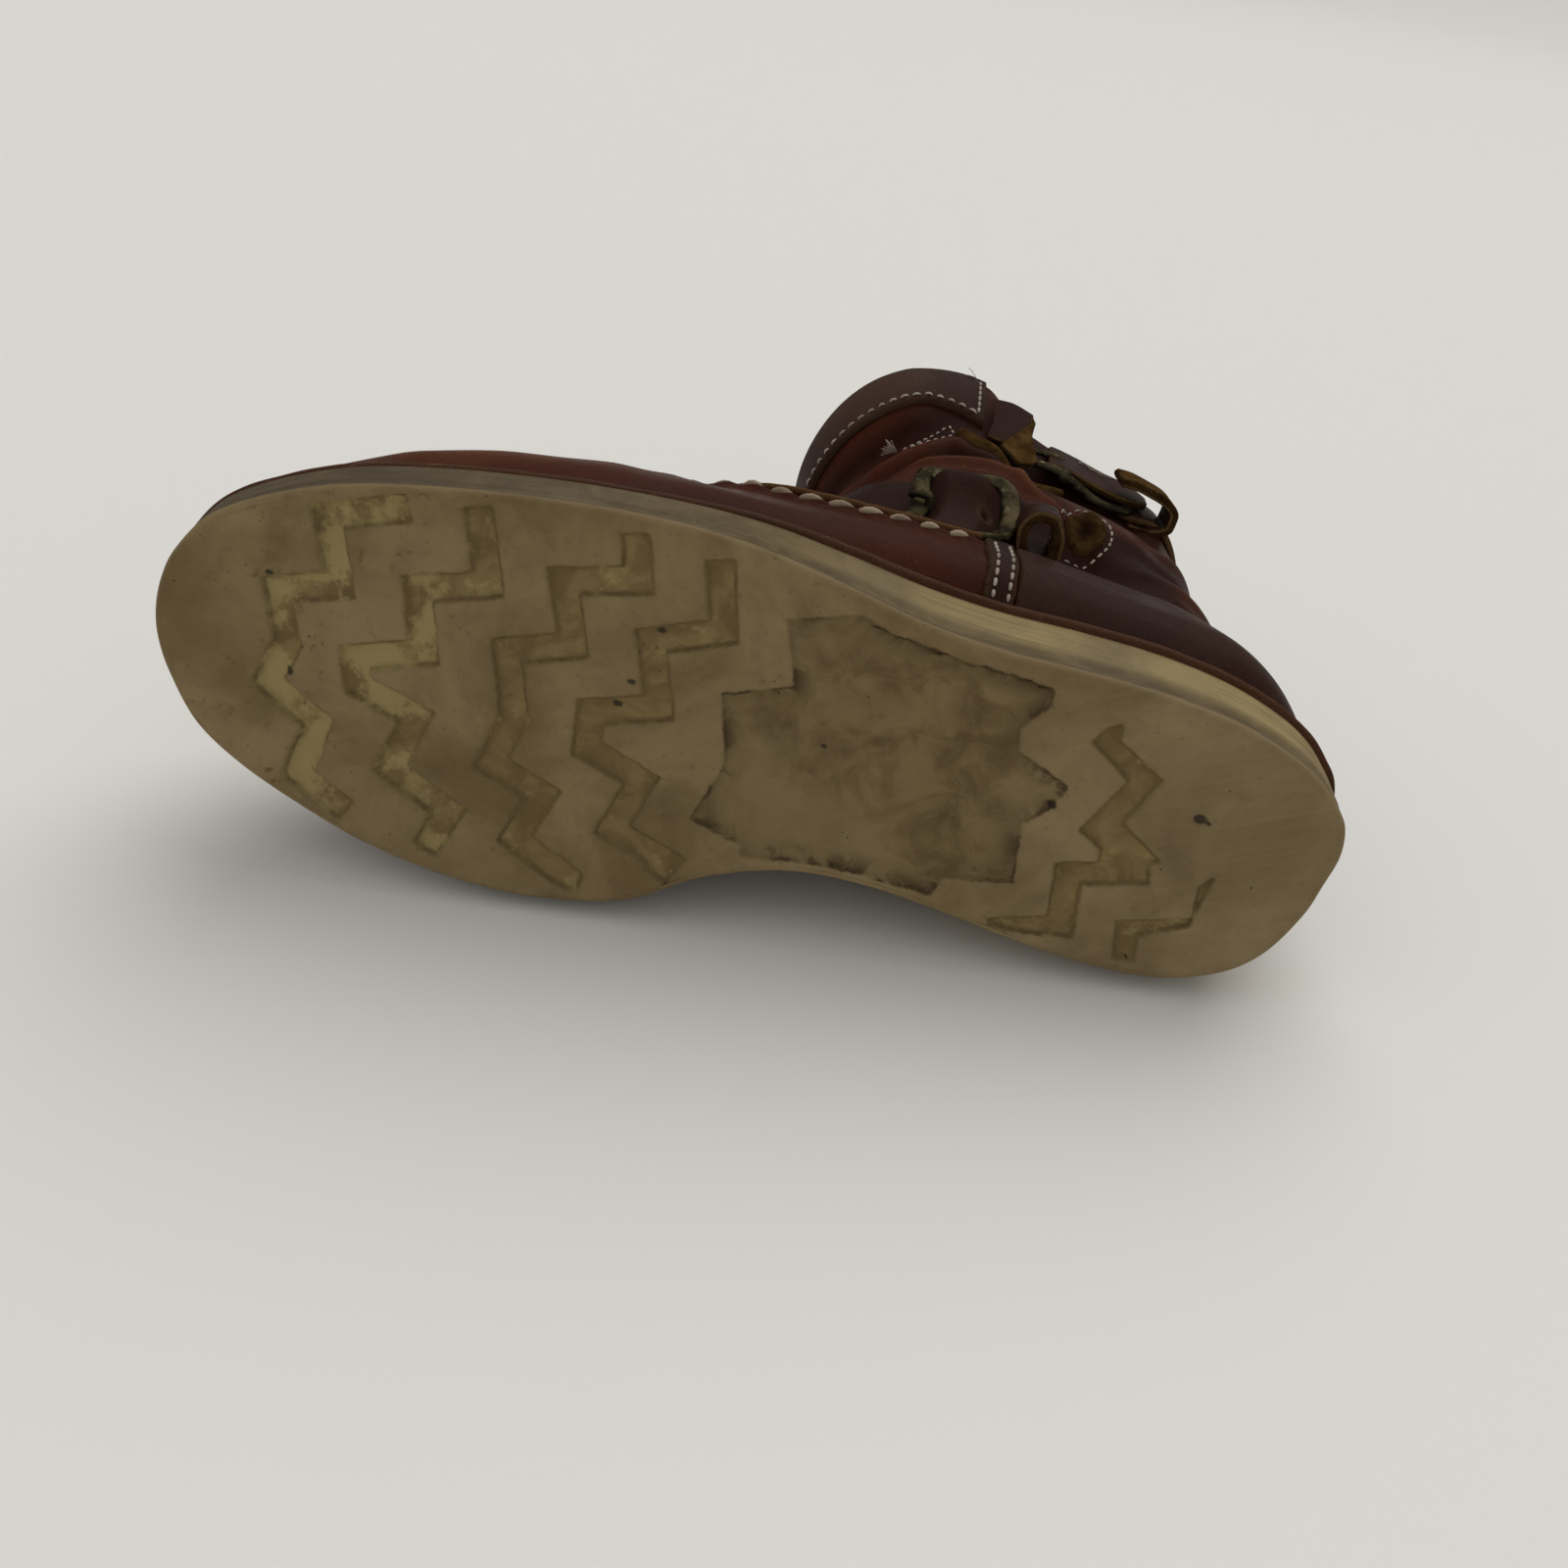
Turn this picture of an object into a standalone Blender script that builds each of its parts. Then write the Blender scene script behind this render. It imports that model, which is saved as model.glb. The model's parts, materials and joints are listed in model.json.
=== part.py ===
import bpy
import bmesh
import math
import numpy as np

# named sizes in metres
LENGTH = 0.3056
BALL_WIDTH = 0.1073
SHAFT_HEIGHT = 0.182
VAMP_BASE = 0.026
SOLE_HEEL = 0.0262
SOLE_BALL = 0.0165
SOLE_TOE = 0.0145
TOE_SPRING = 0.008
EDGE_ROUND = 0.0018
SOLE_FLARE = 0.0012
HEEL_FLARE = 0.0016
MIDSOLE_THICK = 0.0036
MIDSOLE_LEDGE = 0.0006
GROOVE_WIDTH = 0.0078
GROOVE_DEPTH = 0.0021
ARCH_DEPTH = 0.0016
SEAT_GAP = 0.0002
LAY_GAP = 0.0003
OVER_GAP = 0.00045
FEATHER_INSET = 0.0042
WALL = 0.0022
INSOLE_THICK = 0.003
INSOLE_GAP = 0.0016
SEAM_LEVEL = 0.064
SEAM_RISE = 0.0019
SEAM_HALF = 0.0016
CINCH = 0.0175
COUNTER_THICK = 0.0018
COUNTER_TOP = 0.0635
STRIP_WIDTH = 0.0085
STRIP_THICK = 0.0015
BAND_THICK = 0.0018
BAND_HEIGHT = 0.021
STRAP_WIDTH = 0.025
STRAP_THICK = 0.0028
CHAPE_THICK = 0.0022
FRAME_LENGTH = 0.034
FRAME_WIDTH = 0.0336
FRAME_THICK = 0.0022
BAR_WIDTH = 0.0058
SIDE_BAR = 0.0028
CENTRE_BAR = 0.0035
COLLAR_STRAP_WIDTH = 0.020
COLLAR_STRAP_THICK = 0.0025
COLLAR_FRAME_LENGTH = 0.042
COLLAR_FRAME_WIDTH = 0.0288
KEEPER_WIDTH = 0.009
KEEPER_THICK = 0.002

# resolution counts
OUTLINE_STEPS = 2
COLUMNS = 52

HALF_BALL = BALL_WIDTH / 2
RISE = SHAFT_HEIGHT - VAMP_BASE

# sole outline, a row per station from heel to toe: lateral x, lateral y, medial x, medial y
# x as share of length, y as share of half the ball width
OUTLINE = [
    (0.000, 0.158, 0.000, 0.158),
    (0.005, 0.302, 0.004, 0.000),
    (0.017, 0.391, 0.011, -0.190),
    (0.040, 0.507, 0.031, -0.429),
    (0.073, 0.602, 0.062, -0.583),
    (0.121, 0.686, 0.111, -0.678),
    (0.180, 0.738, 0.170, -0.690),
    (0.248, 0.760, 0.239, -0.652),
    (0.321, 0.770, 0.311, -0.582),
    (0.386, 0.813, 0.380, -0.535),
    (0.452, 0.895, 0.445, -0.552),
    (0.518, 0.969, 0.511, -0.680),
    (0.583, 1.001, 0.576, -0.902),
    (0.655, 0.992, 0.655, -0.990),
    (0.727, 0.953, 0.727, -0.979),
    (0.796, 0.893, 0.796, -0.908),
    (0.860, 0.805, 0.860, -0.790),
    (0.918, 0.665, 0.915, -0.661),
    (0.961, 0.508, 0.956, -0.514),
    (0.987, 0.311, 0.983, -0.308),
    (0.997, 0.159, 0.996, -0.145),
    (1.000, 0.002, 1.000, 0.002),
]

# widest line of the upper: x as share of length
# lateral, medial and lean toward the seam as share of half the ball width
BODY = [
    (0.00, 0.78, -0.57, 0.00),
    (0.13, 0.83, -0.60, 0.00),
    (0.28, 0.93, -0.66, 0.00),
    (0.41, 0.99, -0.71, 0.02),
    (0.55, 1.01, -0.79, 0.07),
    (0.65, 1.02, -0.87, 0.10),
    (0.74, 0.97, -0.87, 0.11),
    (0.82, 0.88, -0.82, 0.11),
    (0.90, 0.78, -0.75, 0.10),
    (1.00, 0.70, -0.67, 0.08),
]

# upper, a row per level
# rise as share of the way from the sole to the collar
# front, back, front cap, back cap as share of length
# follow is how far the level keeps to the sole, fill goes from sole outline to BODY, shaft goes from BODY to shaft
# lateral, medial, centre as share of half the ball width, cinch and lean as share of their full depth
LEVELS = [
    # rise, front, back, capf, capb, follow, fill, shaft, lateral, medial, centre, cinch, lean
    (0.000, 0.984, 0.014, 0.163, 0.119, 1.00, 0.00, 0.0, 1.10, -0.72, 0.06, 0.0, 0.00),
    (0.045, 0.996, 0.003, 0.170, 0.124, 0.75, 0.50, 0.0, 1.10, -0.72, 0.06, 0.0, 0.00),
    (0.096, 0.996, 0.000, 0.178, 0.129, 0.45, 0.85, 0.0, 1.10, -0.72, 0.06, 0.0, 0.00),
    (0.154, 0.983, 0.001, 0.203, 0.137, 0.15, 1.00, 0.0, 1.10, -0.72, 0.06, 0.0, 0.30),
    (0.200, 0.954, 0.004, 0.242, 0.144, 0.00, 1.00, 0.0, 1.10, -0.72, 0.06, 0.0, 0.65),
    (0.237, 0.899, 0.010, 0.287, 0.154, 0.00, 1.00, 0.0, 1.10, -0.72, 0.06, 0.0, 1.00),
    (0.269, 0.833, 0.016, 0.317, 0.164, 0.00, 1.00, 0.0, 1.10, -0.72, 0.07, 0.0, 1.00),
    (0.298, 0.760, 0.021, 0.326, 0.172, 0.00, 1.00, 0.15, 1.000, -0.450, 0.08, 0.0, 1.00),
    (0.333, 0.685, 0.027, 0.326, 0.178, 0.00, 1.00, 0.35, 1.000, -0.470, 0.10, 0.0, 1.00),
    (0.375, 0.617, 0.034, 0.255, 0.185, 0.00, 1.00, 0.60, 1.000, -0.490, 0.12, 0.0, 1.00),
    (0.430, 0.560, 0.041, 0.220, 0.191, 0.00, 1.00, 0.80, 1.020, -0.505, 0.15, 0.05, 1.00),
    (0.494, 0.517, 0.049, 0.208, 0.195, 0.00, 1.00, 0.90, 1.070, -0.500, 0.20, 0.15, 1.00),
    (0.564, 0.489, 0.057, 0.204, 0.195, 0.00, 1.00, 1.00, 1.125, -0.495, 0.26, 0.32, 1.00),
    (0.647, 0.473, 0.065, 0.214, 0.196, 0.00, 1.00, 1.00, 1.220, -0.475, 0.34, 0.55, 1.00),
    (0.737, 0.470, 0.070, 0.204, 0.197, 0.00, 1.00, 1.00, 1.310, -0.455, 0.40, 0.80, 1.00),
    (0.846, 0.481, 0.075, 0.203, 0.201, 0.00, 1.00, 1.00, 1.410, -0.430, 0.47, 1.0, 1.00),
    (1.000, 0.495, 0.082, 0.206, 0.206, 0.00, 1.00, 1.00, 1.510, -0.380, 0.55, 1.0, 1.00),
]

# how deep the rear of the lateral shaft wall is drawn in by the strap: x as share of length, share of full depth
CINCH_LINE = [
    (0.07, 0.0),
    (0.10, 0.22),
    (0.15, 0.85),
    (0.21, 1.0),
    (0.27, 0.86),
    (0.32, 0.25),
    (0.40, 0.0),
]

# sole heights: x as share of length, wedge top and underside as share of their named sizes below
WEDGE_TOP = [
    (0.00, 1.00, 0.00),
    (0.20, 0.99, 0.00),
    (0.35, 0.88, 0.05),
    (0.50, 0.45, 0.45),
    (0.66, 0.00, 1.00),
    (0.83, 0.00, 0.90),
    (1.00, 0.00, 0.00),
]
SPRING = [
    (0.00, 0.0),
    (0.70, 0.0),
    (0.80, 0.08),
    (0.90, 0.42),
    (1.00, 1.0),
]

# tread, corner rows of the groove centre lines: x as share of length, y as share of half the ball width
GROOVES = [
    [(0.799, 0.793), (0.863, 0.659), (0.847, 0.355), (0.897, 0.259), (0.884, 0.018),
     (0.897, -0.201), (0.851, -0.341), (0.864, -0.621), (0.818, -0.755)],
    [(0.747, 0.876), (0.730, 0.527), (0.785, 0.427), (0.772, 0.138), (0.828, 0.027),
     (0.822, -0.100), (0.771, -0.189), (0.787, -0.475), (0.733, -0.628), (0.749, -0.866)],
    [(0.624, 0.920), (0.614, 0.705), (0.672, 0.624), (0.656, 0.337), (0.707, 0.236),
     (0.692, -0.076), (0.705, -0.333), (0.658, -0.434), (0.675, -0.695), (0.625, -0.839), (0.627, -0.900)],
    [(0.555, 0.890), (0.540, 0.561), (0.595, 0.440), (0.578, 0.129), (0.632, 0.037),
     (0.630, -0.145), (0.580, -0.252), (0.596, -0.531), (0.545, -0.636), (0.553, -0.735)],
    [(0.211, 0.554), (0.222, 0.457), (0.179, 0.315), (0.201, 0.041), (0.167, -0.076),
     (0.172, -0.190), (0.211, -0.229), (0.209, -0.470)],
    [(0.150, -0.580), (0.151, -0.434), (0.110, -0.365)],
]
ARCH = [
    (0.494, 0.688), (0.476, 0.386), (0.532, 0.274), (0.517, -0.048), (0.518, -0.104), (0.536, -0.390),
    (0.488, -0.468), (0.487, -0.535), (0.456, -0.500), (0.423, -0.480), (0.391, -0.477), (0.358, -0.490),
    (0.321, -0.508), (0.314, -0.403), (0.256, -0.347), (0.264, -0.041), (0.245, 0.076), (0.236, 0.201),
    (0.284, 0.324), (0.289, 0.423), (0.270, 0.572), (0.271, 0.656), (0.353, 0.695), (0.407, 0.734),
    (0.436, 0.790),
]

# strap lines over the upper: turn in degrees from the front tip, rise share
INSTEP_LINE = [
    (-104, 0.452), (-92, 0.452), (-78, 0.460), (-65, 0.475), (-50, 0.500), (-25, 0.545),
    (0, 0.568),
    (25, 0.540), (50, 0.462), (66, 0.422), (82, 0.406), (96, 0.398), (107, 0.392), (122, 0.386),
]
COLLAR_LINE = [
    (72, 0.905), (94, 0.905), (113, 0.900), (135, 0.893), (155, 0.885), (172, 0.880),
]
INSTEP_BUCKLE_TURN = 83
COLLAR_BUCKLE_TURN = 113

# lift of the two straps over the leather: place along the strap from the buckle centre as share of frame length, lift
INSTEP_LIFT = [
    (-9.0, 0.0), (-0.53, 0.0), (-0.33, 0.0), (-0.12, 0.0056), (0.12, 0.0056), (0.32, 0.0026), (9.0, 0.0026),
]
COLLAR_LIFT = [
    (-9.0, 0.0010), (-1.10, 0.0010), (-0.96, 0.0050), (-0.80, 0.0100), (-0.66, 0.0062), (-0.52, 0.0003),
    (-0.37, 0.0003), (-0.28, 0.0040), (-0.20, 0.0098), (-0.08, 0.0092), (0.06, 0.0066), (0.30, 0.0056),
    (0.60, 0.0060), (9.0, 0.0066),
]
FRAME_LIFT = [
    (-0.52, 0.0040), (-0.33, 0.0037), (0.0, 0.0032), (0.33, 0.0062), (0.52, 0.0065),
]


def smooth(xs, ys, x):
    """Monotone cubic through the rows."""
    xs = np.asarray(xs, float)
    ys = np.asarray(ys, float)
    x = np.clip(np.asarray(x, float), xs[0], xs[-1])
    h = np.diff(xs)
    d = np.diff(ys) / h
    m = np.zeros_like(ys)
    m[0] = d[0]
    m[-1] = d[-1]
    for i in range(1, len(xs) - 1):
        if d[i - 1] * d[i] > 0:
            w1 = 2 * h[i] + h[i - 1]
            w2 = h[i] + 2 * h[i - 1]
            m[i] = (w1 + w2) / (w1 / d[i - 1] + w2 / d[i])
    i = np.clip(np.searchsorted(xs, x, side="right") - 1, 0, len(xs) - 2)
    t = (x - xs[i]) / h[i]
    a = (1 + 2 * t) * (1 - t) ** 2
    b = t * (1 - t) ** 2
    c = t * t * (3 - 2 * t)
    e = t * t * (t - 1)
    return a * ys[i] + b * h[i] * m[i] + c * ys[i + 1] + e * h[i] * m[i + 1]


def column(table, index):
    return np.array([row[index] for row in table], float)


def closed_spline(points, steps):
    """Closed Catmull-Rom curve through the points."""
    n = len(points)
    out = []
    for i in range(n):
        p0 = points[(i - 1) % n]
        p1 = points[i]
        p2 = points[(i + 1) % n]
        p3 = points[(i + 2) % n]
        for k in range(steps):
            t = k / steps
            out.append(0.5 * (2 * p1 + (p2 - p0) * t + (2 * p0 - 5 * p1 + 4 * p2 - p3) * t * t
                              + (3 * p1 - p0 - 3 * p2 + p3) * t ** 3))
    return np.array(out)


def outline_loop(steps):
    """Sole outline, from the heel tip along the lateral side and back along the medial side."""
    lat = [np.array([r[0] * LENGTH, r[1] * HALF_BALL]) for r in OUTLINE]
    med = [np.array([r[2] * LENGTH, r[3] * HALF_BALL]) for r in OUTLINE]
    return closed_spline(lat + med[-2:0:-1], steps)


def shifted(loop, amount):
    """Loop moved outward by an amount per point."""
    t = np.roll(loop, -1, axis=0) - np.roll(loop, 1, axis=0)
    t /= np.linalg.norm(t, axis=1)[:, None]
    normal = np.stack([-t[:, 1], t[:, 0]], axis=1)
    return loop + normal * np.reshape(amount, (-1, 1))


def spring(x):
    return TOE_SPRING * smooth(column(SPRING, 0) * LENGTH, column(SPRING, 1), x)


def wedge_top(x):
    s = column(WEDGE_TOP, 0) * LENGTH
    heel = smooth(s, column(WEDGE_TOP, 1), x)
    ball = smooth(s, column(WEDGE_TOP, 2), x)
    return spring(x) + heel * SOLE_HEEL + ball * SOLE_BALL + (1 - heel - ball) * SOLE_TOE


def midsole_top(x):
    return wedge_top(x) + SEAT_GAP + MIDSOLE_THICK


FINE = outline_loop(10)


def inset_sides(inset):
    """Lateral and medial outline as y over x at an inset."""
    loop = shifted(FINE, -inset)
    half = len(loop) // 2
    lat = loop[:half + 1]
    med = np.vstack([loop[half:], loop[:1]])[::-1]
    return lat, med


def side_y(pair, x, lateral):
    lat, med = pair
    lx = np.maximum.accumulate(lat[:, 0])
    mx = np.maximum.accumulate(med[:, 0])
    return np.where(lateral, np.interp(x, lx, lat[:, 1]), np.interp(x, mx, med[:, 1]))


FEATHER = inset_sides(FEATHER_INSET)


def cap(d):
    d = np.clip(d, 0.0, 1.0)
    return np.sqrt(np.maximum(1.0 - (1.0 - d) ** 2, 0.0))


def surface(turn, rise):
    """Outer face of the upper at a turn from the front tip and a rise share."""
    turn = np.asarray(turn, float)
    rise = np.asarray(rise, float)
    turn, rise = np.broadcast_arrays(turn, rise)
    row = [smooth(column(LEVELS, 0), column(LEVELS, i), rise) for i in range(13)]
    front = row[1] * LENGTH
    back = row[2] * LENGTH
    lateral = np.sin(turn) >= 0
    c = np.cos(turn)
    x = (front + back) / 2 + (front - back) / 2 * c
    s = column(BODY, 0) * LENGTH
    lean = smooth(s, column(BODY, 3), x) * row[12]
    body = np.where(lateral, smooth(s, column(BODY, 1), x) - lean, smooth(s, column(BODY, 2), x) + lean)
    shaft = np.where(lateral, row[8], row[9])
    wide = (body * (1 - row[7]) + shaft * row[7]) * HALF_BALL
    centre = row[10] * HALF_BALL
    caps = cap((front - x) / (row[3] * LENGTH)) * cap((x - back) / (row[4] * LENGTH))
    y = centre + (wide - centre) * caps
    pull = smooth(column(CINCH_LINE, 0) * LENGTH, column(CINCH_LINE, 1), x)
    y = y - np.where(lateral, CINCH * pull * row[11], 0.0)
    lat, med = FEATHER
    tip = lat[-1, 0]
    heel = lat[0, 0]
    xo = (tip + heel) / 2 + (tip - heel) / 2 * c
    yo = side_y(FEATHER, xo, lateral)
    fill = row[6]
    x = xo * (1 - fill) + x * fill
    y = yo * (1 - fill) + y * fill
    level = VAMP_BASE + rise * RISE
    z = level + (midsole_top(x) + SEAT_GAP - VAMP_BASE) * row[5]
    return np.stack([x, y, z], axis=-1)


def surface_normal(turn, rise):
    e = 0.012
    r0 = np.clip(rise - 0.004, 0.0, 1.0)
    r1 = np.clip(rise + 0.004, 0.0, 1.0)
    a = surface(turn + e, rise) - surface(turn - e, rise)
    b = surface(turn, r1) - surface(turn, r0)
    n = np.cross(a, b)
    return n / np.linalg.norm(n, axis=-1)[..., None]


def turn_at(x, rise):
    """Turn from the front tip that lies at a given x."""
    front = smooth(column(LEVELS, 0), column(LEVELS, 1), rise) * LENGTH
    back = smooth(column(LEVELS, 0), column(LEVELS, 2), rise) * LENGTH
    c = (x - (front + back) / 2) / ((front - back) / 2)
    return np.arccos(np.clip(c, -1.0, 1.0))


def rise_of(height):
    return (height - VAMP_BASE) / RISE


PIECES = []


def add_piece(name, verts, faces, look, bevel=0.0):
    PIECES.append({"name": name, "verts": np.asarray(verts, float), "faces": faces, "look": look, "bevel": bevel})


def ring_stack(rings):
    """Closed rings joined into a tube, ends closed across by rows."""
    n = len(rings[0])
    verts = np.vstack(rings)
    faces = []
    for k in range(len(rings) - 1):
        for i in range(n):
            j = (i + 1) % n
            faces.append((k * n + i, k * n + j, (k + 1) * n + j, (k + 1) * n + i))
    half = n // 2
    for k, flip in ((0, False), (len(rings) - 1, True)):
        for i in range(half):
            a = k * n + i
            b = k * n + i + 1
            c = k * n + (n - i - 1) % n
            d = k * n + (n - i) % n
            quad = [a, b, c, d]
            if i == 0:
                quad = [a, b, c]
            if i == half - 1:
                quad = [a, b, d]
            faces.append(tuple(quad if not flip else quad[::-1]))
    return verts, faces


def shell_patch(outer, inner):
    """Closed solid between two equal grids."""
    rows, cols = outer.shape[:2]
    verts = np.vstack([outer.reshape(-1, 3), inner.reshape(-1, 3)])
    off = rows * cols
    faces = []
    for r in range(rows - 1):
        for c in range(cols - 1):
            a = r * cols + c
            b = a + 1
            d = a + cols
            e = d + 1
            faces.append((a, b, e, d))
            faces.append((off + a, off + d, off + e, off + b))
    for c in range(cols - 1):
        a = c
        b = c + 1
        faces.append((b, a, off + a, off + b))
        a = (rows - 1) * cols + c
        b = a + 1
        faces.append((a, b, off + b, off + a))
    for r in range(rows - 1):
        a = r * cols
        b = a + cols
        faces.append((a, b, off + b, off + a))
        a = r * cols + cols - 1
        b = a + cols
        faces.append((b, a, off + a, off + b))
    return verts, faces


def overlay(name, turn_a, turn_b, rise_lo, rise_hi, cols, rows, gap, thick, look):
    """Patch laid over the upper between two turns and two rises."""
    s = np.linspace(0.0, 1.0, cols)
    t = np.linspace(0.0, 1.0, rows)
    tt, ss = np.meshgrid(t, s, indexing="ij")
    lo = rise_lo(ss)
    hi = rise_hi(ss)
    rise = lo + (hi - lo) * tt
    turn = turn_a(rise) + (turn_b(rise) - turn_a(rise)) * ss
    p = surface(turn, rise)
    n = surface_normal(turn, rise)
    verts, faces = shell_patch(p + n * (gap + thick), p + n * gap)
    add_piece(name, verts, faces, look)


class StrapLine:
    """A line over the upper with places along it, across it and off it in metres."""

    def __init__(self, rows, zero_turn):
        turns = np.radians(column(rows, 0))
        t = np.linspace(turns[0], turns[-1], 400)
        r = smooth(turns, column(rows, 1), t)
        p = surface(t, r)
        step = np.linalg.norm(np.diff(p, axis=0), axis=1)
        along = np.concatenate([[0.0], np.cumsum(step)])
        zero = np.interp(math.radians(zero_turn), t, along)
        self.along = along - zero
        self.turn = t
        self.rise = r

    def place(self, s, w, off):
        s = np.asarray(s, float)
        w = np.asarray(w, float)
        off = np.asarray(off, float)
        s, w, off = np.broadcast_arrays(s, w, off)
        t = np.interp(s, self.along, self.turn)
        r = np.interp(s, self.along, self.rise)
        e = 0.004
        here = surface(t, r)
        t2 = np.interp(s + e, self.along, self.turn)
        r2 = np.interp(s + e, self.along, self.rise)
        t1 = np.interp(s - e, self.along, self.turn)
        r1 = np.interp(s - e, self.along, self.rise)
        ahead = surface(t2, r2) - surface(t1, r1)
        ahead /= np.linalg.norm(ahead, axis=-1)[..., None]
        n = surface_normal(t, r)
        across = np.cross(n, ahead)
        across /= np.linalg.norm(across, axis=-1)[..., None]
        pt = (surface(t + 0.01, r) - surface(t - 0.01, r)) / 0.02
        pr = (surface(t, r + 0.004) - surface(t, r - 0.004)) / 0.008
        move = across * w[..., None]
        a11 = (pt * pt).sum(-1)
        a12 = (pt * pr).sum(-1)
        a22 = (pr * pr).sum(-1)
        b1 = (pt * move).sum(-1)
        b2 = (pr * move).sum(-1)
        det = a11 * a22 - a12 * a12
        dt = (b1 * a22 - b2 * a12) / det
        dr = (a11 * b2 - a12 * b1) / det
        q = surface(t + dt, np.clip(r + dr, 0.0, 1.0))
        m = surface_normal(t + dt, np.clip(r + dr, 0.0, 1.0))
        return q + m * off[..., None], here


def strap(name, line, s_list, half_width, lift, thick, look, tip=0.0, cols=5):
    """Strap that follows a line, with an optional rounded tip at its far end."""
    s = np.asarray(s_list, float)
    w = np.linspace(-1.0, 1.0, cols)
    ss, ww = np.meshgrid(s, w, indexing="ij")
    half = np.full_like(ss, half_width)
    if tip > 0:
        d = np.clip((s[-1] - ss) / tip, 0.0, 1.0)
        half = half_width * (0.45 + 0.55 * cap(d))
    low = lift(ss)
    inner, _ = line.place(ss, ww * half, low)
    outer, _ = line.place(ss, ww * half, low + thick)
    verts, faces = shell_patch(outer, inner)
    add_piece(name, verts, faces, look)


def frame_plate(name, line, length, width, bar, side, centre, lift, thick, look):
    """Centre-bar buckle frame laid along a strap line."""
    a = length / 2
    b = width / 2
    s = [-a, -a + bar * 0.35, -a + bar, (-a + bar - centre / 2) / 2, -centre / 2,
         centre / 2, (a - bar + centre / 2) / 2, a - bar, a - bar * 0.35, a]
    w = [-b, -b + side, (-b + side) / 2, 0.0, (b - side) / 2, b - side, b]
    ns = len(s)
    nw = len(w)
    cells = set()
    for i in range(ns - 1):
        for j in range(nw - 1):
            inside = 0 < j < nw - 2
            if inside and i in (2, 3, 5, 6):
                continue
            cells.add((i, j))
    grid_s = np.zeros((ns, nw))
    grid_w = np.zeros((ns, nw))
    for i in range(ns):
        for j in range(nw):
            x = s[i]
            y = w[j]
            if i in (0, ns - 1) and j in (0, nw - 1):
                x = x * (1 - 0.30 * bar / a)
                y = y * (1 - 0.30 * side / b)
            grid_s[i, j] = x
            grid_w[i, j] = y
    low, _ = line.place(grid_s, grid_w, lift(grid_s))
    high, _ = line.place(grid_s, grid_w, lift(grid_s) + thick)
    verts = np.vstack([high.reshape(-1, 3), low.reshape(-1, 3)])
    off = ns * nw
    faces = []

    def at(i, j):
        return i * nw + j

    for (i, j) in sorted(cells):
        q = (at(i, j), at(i, j + 1), at(i + 1, j + 1), at(i + 1, j))
        faces.append(q)
        faces.append(tuple(off + v for v in q[::-1]))
        if (i - 1, j) not in cells:
            faces.append((at(i, j + 1), at(i, j), off + at(i, j), off + at(i, j + 1)))
        if (i + 1, j) not in cells:
            faces.append((at(i + 1, j), at(i + 1, j + 1), off + at(i + 1, j + 1), off + at(i + 1, j)))
        if (i, j - 1) not in cells:
            faces.append((at(i, j), at(i + 1, j), off + at(i + 1, j), off + at(i, j)))
        if (i, j + 1) not in cells:
            faces.append((at(i + 1, j + 1), at(i, j + 1), off + at(i, j + 1), off + at(i + 1, j + 1)))
    used = sorted({v for f in faces for v in f})
    index = {v: k for k, v in enumerate(used)}
    faces = [tuple(index[v] for v in f) for f in faces]
    add_piece(name, verts[used], faces, look, bevel=0.0005)


def arch_loop(name, line, s0, width, half, height, thick, foot, look):
    """Keeper loop that stands on the leather over a strap."""
    rows = [(-half, foot), (-half * 1.02, foot + height * 0.55), (-half * 0.86, foot + height * 0.9),
            (-half * 0.45, foot + height), (half * 0.45, foot + height), (half * 0.86, foot + height * 0.9),
            (half * 1.02, foot + height * 0.55), (half, foot)]
    w_in = np.array([r[0] for r in rows])
    o_in = np.array([r[1] for r in rows])
    w_out = w_in.copy()
    o_out = o_in.copy()
    w_out[:2] -= thick
    w_out[2] -= thick * 0.7
    o_out[2] += thick * 0.7
    w_out[-2:] += thick
    w_out[-3] += thick * 0.7
    o_out[-3] += thick * 0.7
    o_out[3] += thick
    o_out[4] += thick
    s = np.array([s0, s0 + width / 2, s0 + width])
    inner = np.stack([line.place(s, np.full(3, w), np.full(3, o))[0] for w, o in zip(w_in, o_in)], axis=1)
    outer = np.stack([line.place(s, np.full(3, w), np.full(3, o))[0] for w, o in zip(w_out, o_out)], axis=1)
    verts, faces = shell_patch(outer, inner)
    add_piece(name, verts, faces, look)


def table_lift(rows, length, gap=LAY_GAP):
    return lambda s: smooth(column(rows, 0) * length, column(rows, 1), s) + gap


# sole pieces
LOOP = outline_loop(OUTLINE_STEPS)


def level_ring(offset, height):
    loop = shifted(LOOP, offset)
    return np.column_stack([loop, height(loop[:, 0])])


heel_share = smooth([0.0, 0.35 * LENGTH, 0.6 * LENGTH, LENGTH], [1.0, 1.0, 0.0, 0.0], LOOP[:, 0])
lateral_share = (LOOP[:, 1] > 0).astype(float)
FLARE = SOLE_FLARE + HEEL_FLARE * heel_share * lateral_share

rings = [
    level_ring(-EDGE_ROUND, spring),
    level_ring(0.0, lambda x: spring(x) + EDGE_ROUND),
    level_ring(FLARE * 0.6, lambda x: spring(x) + (wedge_top(x) - spring(x)) * 0.5),
    level_ring(FLARE, wedge_top),
]
v, f = ring_stack(rings)
add_piece("outsole", v, [face[::-1] for face in f], "rubber")

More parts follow.
